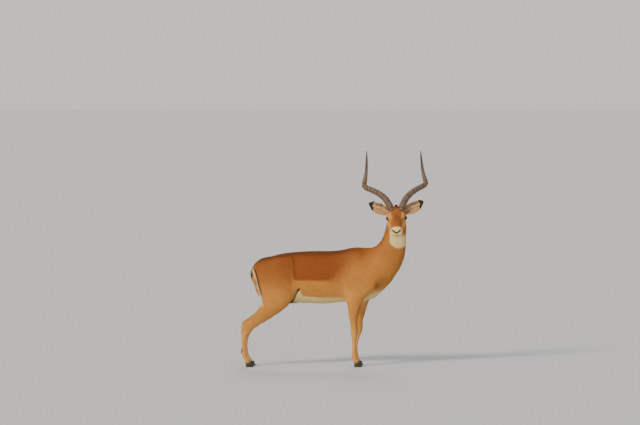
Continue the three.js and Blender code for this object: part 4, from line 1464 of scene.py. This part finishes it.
def horn_rings(name):
    """Middles and radii of the CAD horn's rings, from root to tip, found by walking over its edges."""
    points, faces, _ = welded([name])
    outward = 1 if name.endswith("left") else -1
    reach = points @ unit(HORN_START * (outward, 1, 1))
    ring = set(np.argsort(reach)[:HORN_RING].tolist())
    beside = [set() for _ in points]
    for corners in faces.tolist():
        for corner in corners:
            beside[corner].update(corners)
    seen = set(ring)
    middles = []
    radii = []
    while ring:
        corners = points[sorted(ring)]
        middles.append(corners.mean(0))
        radii.append(np.linalg.norm(corners - corners.mean(0), axis=1).mean())
        ring = set().union(*(beside[k] for k in ring)) - seen
        seen |= ring
    return np.array(middles), np.array(radii)


def evened(values, times):
    """A column of values with each one drawn to its neighbours, its ends kept."""
    for _ in range(times):
        values = values.copy()
        values[1:-1] = 0.25 * values[:-2] + 0.5 * values[1:-1] + 0.25 * values[2:]
    return values


def ridge_profile(share, length):
    """Height of the ridges, 0 to 1, at each share of the length: sharp crests with flat ground between."""
    pitch = np.interp(share, [0, HORN_RIDGED], RIDGE_PITCH)
    phase = np.cumsum(np.diff(share, prepend=share[0]) * length / pitch)
    phase = phase + 0.13 * np.sin(phase * 1.9) + 0.07 * np.sin(phase * 4.3)
    saw = phase % 1.0
    crest = smoothstep(0.16, 0.60, saw) ** 1.3 * (1 - smoothstep(0.66, 0.92, saw))
    uneven = 0.78 + 0.22 * np.sin(np.floor(phase) * 2.4)
    return crest * uneven * between(share, 0.0, 0.05, HORN_RIDGED - 0.12, HORN_RIDGED + 0.03)


def make_horn(name):
    """A horn round the line of the CAD one, ridged most strongly in front and smooth towards its tip."""
    middles, radii = horn_rings(name)
    gone = np.concatenate([[0], np.cumsum(np.linalg.norm(np.diff(middles, axis=0), axis=1))])
    share = np.linspace(0, 1, HORN_STEPS) ** 0.97
    reach = share * gone[-1]
    path = np.stack([evened(np.interp(reach, gone, middles[:, a]), 60) for a in range(3)], 1)
    radius = HORN_CORE * evened(np.interp(reach, gone, evened(radii, 3)), 40)
    crest = ridge_profile(share, gone[-1])
    ahead = unit(np.gradient(path, axis=0))
    side_way = unit(np.cross(ahead, HORN_FRONT))
    front_way = unit(np.cross(side_way, ahead))
    turn = np.arange(HORN_SIDES) / HORN_SIDES * 2 * math.pi
    strong = 0.22 + 0.78 * (0.5 + 0.5 * np.cos(turn)) ** 1.2
    tilt = 0.0040 * np.cos(turn) + 0.0012 * np.sin(3 * turn)  # the ridges stand further up the horn in front
    rings = []
    crests = []
    for k in range(HORN_STEPS):
        crests.append(np.interp(reach[k] - tilt, reach, crest))
        ridges = RIDGE_HEIGHT * crests[k] * strong * min(1.0, radius[k] / 0.016)
        flutes = FLUTE_HEIGHT * np.cos(turn * 11 + 2.0 * math.sin(k * 0.03)) * min(1.0, 4 * (1 - share[k]))
        r = radius[k] + ridges + flutes
        ring = np.outer(r * np.cos(turn), front_way[k]) + np.outer(r * np.sin(turn), side_way[k])
        rings.append(path[k] + ring)
    points = np.concatenate(rings + [path[:1], path[-1:] + 0.001 * ahead[-1:]])
    piece = mesh_object(f"{name}_ringed", points, tube_faces(HORN_STEPS, HORN_SIDES))
    tone = np.append(np.repeat(share, HORN_SIDES), [0, 1])
    paint(piece, horn_colours(tone, np.append(np.concatenate(crests), [0, 0])))
    piece.data.materials.append(HORN_FINISH)
    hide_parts(name)


def horn_colours(share, crest):
    """Dark grooves and paler crests, then a smooth dark tip."""
    ridged = painted(
        HORN_GROOVE,
        (HORN_BROWN, smoothstep(0.0, 0.45, crest)),
        (HORN_CREST, 0.45 * smoothstep(0.4, 0.9, crest)),
    )
    smooth = mix(HORN_BROWN, HORN_TIP, smoothstep(0.65, 0.85, share))
    return mix(ridged, smooth, smoothstep(HORN_RIDGED - 0.12, HORN_RIDGED + 0.02, share))


# ---- Eyes

EYE_ROWS = 44
EYE_COLUMNS = 56
EYE_POLE = 0.02  # angle from the axis to the first ring
CORNEA_HEIGHT = 0.0007
IRIS = srgb(58, 32, 17)
IRIS_EDGE = srgb(20, 12, 8)
PUPIL = srgb(5, 5, 8)
EYE_RIM = srgb(20, 14, 12)


def make_eye(side):
    """A ball with a low cornea, its iris and level pupil coloured by where they lie on it."""
    eye = EYE_PAIR[side]
    polar = np.linspace(EYE_POLE, math.pi - EYE_POLE, EYE_ROWS)
    turn = np.arange(EYE_COLUMNS) / EYE_COLUMNS * 2 * math.pi
    p, t = np.meshgrid(polar, turn, indexing="ij")
    local = np.stack([np.sin(p) * np.cos(t), np.sin(p) * np.sin(t), np.cos(p)], -1).reshape(-1, 3)
    radius = EYE_RADIUS - 0.0003 + CORNEA_HEIGHT * smoothstep(0.75, 0.35, p.ravel())
    axes = np.stack([eye.long, eye.high, eye.out])
    points = eye.middle + (local * radius[:, None]) @ axes
    points = np.concatenate([points, [points[:EYE_COLUMNS].mean(0), points[-EYE_COLUMNS:].mean(0)]])
    faces = tube_faces(EYE_ROWS, EYE_COLUMNS)
    if np.linalg.det(axes) > 0:
        faces = faces[:, ::-1]
    piece = mesh_object(f"eye_ball_{side}", points, faces)
    paint(piece, eye_colours(np.concatenate([local, [[0, 0, 1], [0, 0, -1]]])))
    piece.data.materials.append(EYE_FINISH)
    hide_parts(f"eye_{side}")


def eye_colours(local):
    """An iris with fine rays round a level pupil, and a dark edge."""
    long, high, _ = local.T
    off = np.hypot(long, high)
    rays = 0.5 + 0.5 * np.cos(np.arctan2(high, long) * 28)
    iris = mix(IRIS, IRIS_EDGE, smoothstep(0.35, 0.62, off))
    iris = iris * (0.80 + 0.35 * rays * smoothstep(0.2, 0.4, off))[:, None]
    pupil = 1 - smoothstep(0.92, 1.06, np.hypot(long / 0.46, high / 0.26))
    return painted(iris, (PUPIL, pupil), (EYE_RIM, smoothstep(0.66, 0.74, off)))


# ---- Hooves

HOOF_VOXEL = 0.0016
RING_PITCH = 0.0032
RING_HEIGHT = 0.00035


def remeshed(points, faces, voxel):
    """The closed mesh as a net of even quads."""
    mesh = bpy.data.meshes.new("toe")
    mesh.from_pydata(points.tolist(), [], faces.tolist())
    source = bpy.data.objects.new("toe", mesh)
    bpy.context.scene.collection.objects.link(source)
    remesh = source.modifiers.new("remesh", "REMESH")
    remesh.mode = "VOXEL"
    remesh.voxel_size = voxel
    made = bpy.data.meshes.new_from_object(source.evaluated_get(bpy.context.evaluated_depsgraph_get()))
    quads = np.array([tuple(p.vertices) for p in made.polygons if len(p.vertices) == 4])
    bpy.data.objects.remove(source)
    return Net(vertex_places(made).astype(float), quads)


def make_hoof(name):
    """The CAD toe with its facets rounded off, growth rings on its wall and its sole left flat."""
    points, faces, _ = welded([name])
    net = remeshed(points, faces, HOOF_VOXEL)
    sole = points[:, 2].min()
    above = smoothstep(0.0015, 0.0060, net.points[:, 2] - sole)[:, None]
    for share in (0.6, -0.58) * 6:
        net.pull(share, 1)
    for _ in range(12):
        net.pull(0.45, above)
    n = net.normals()
    wall = smoothstep(0.3, 0.7, np.hypot(n[:, 0], n[:, 1]))
    waver = 9 * (net.points[:, 0] - points[:, 0].mean())
    growth = RING_HEIGHT * np.cos((net.points[:, 2] - sole) / RING_PITCH * 2 * math.pi + waver)
    net.points = net.points + n * (growth * wall)[:, None]
    net.points[:, 2] = np.maximum(net.points[:, 2], sole)
    piece = mesh_object(f"{name}_horn", net.points, net.faces)
    piece.data.materials.append(HOOF_FINISH)
    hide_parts(name)


# ---- The whole animal

make_camera()
make_floor()
make_sky()
make_lamps()
make_skin_piece()
make_coat()
for name, (limbs, count, grows, size, lie, also) in LONG_HAIR.items():
    long_hair(name, limbs, count, grows, size, lie, **also)
for side, ear in EAR_PAIR.items():
    make_ear_hair(side, ear)
for side in EYE_PAIR:
    make_horn(f"horn_{side}")
    make_eye(side)
for toe in [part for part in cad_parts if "_hoof_" in part]:
    make_hoof(toe)
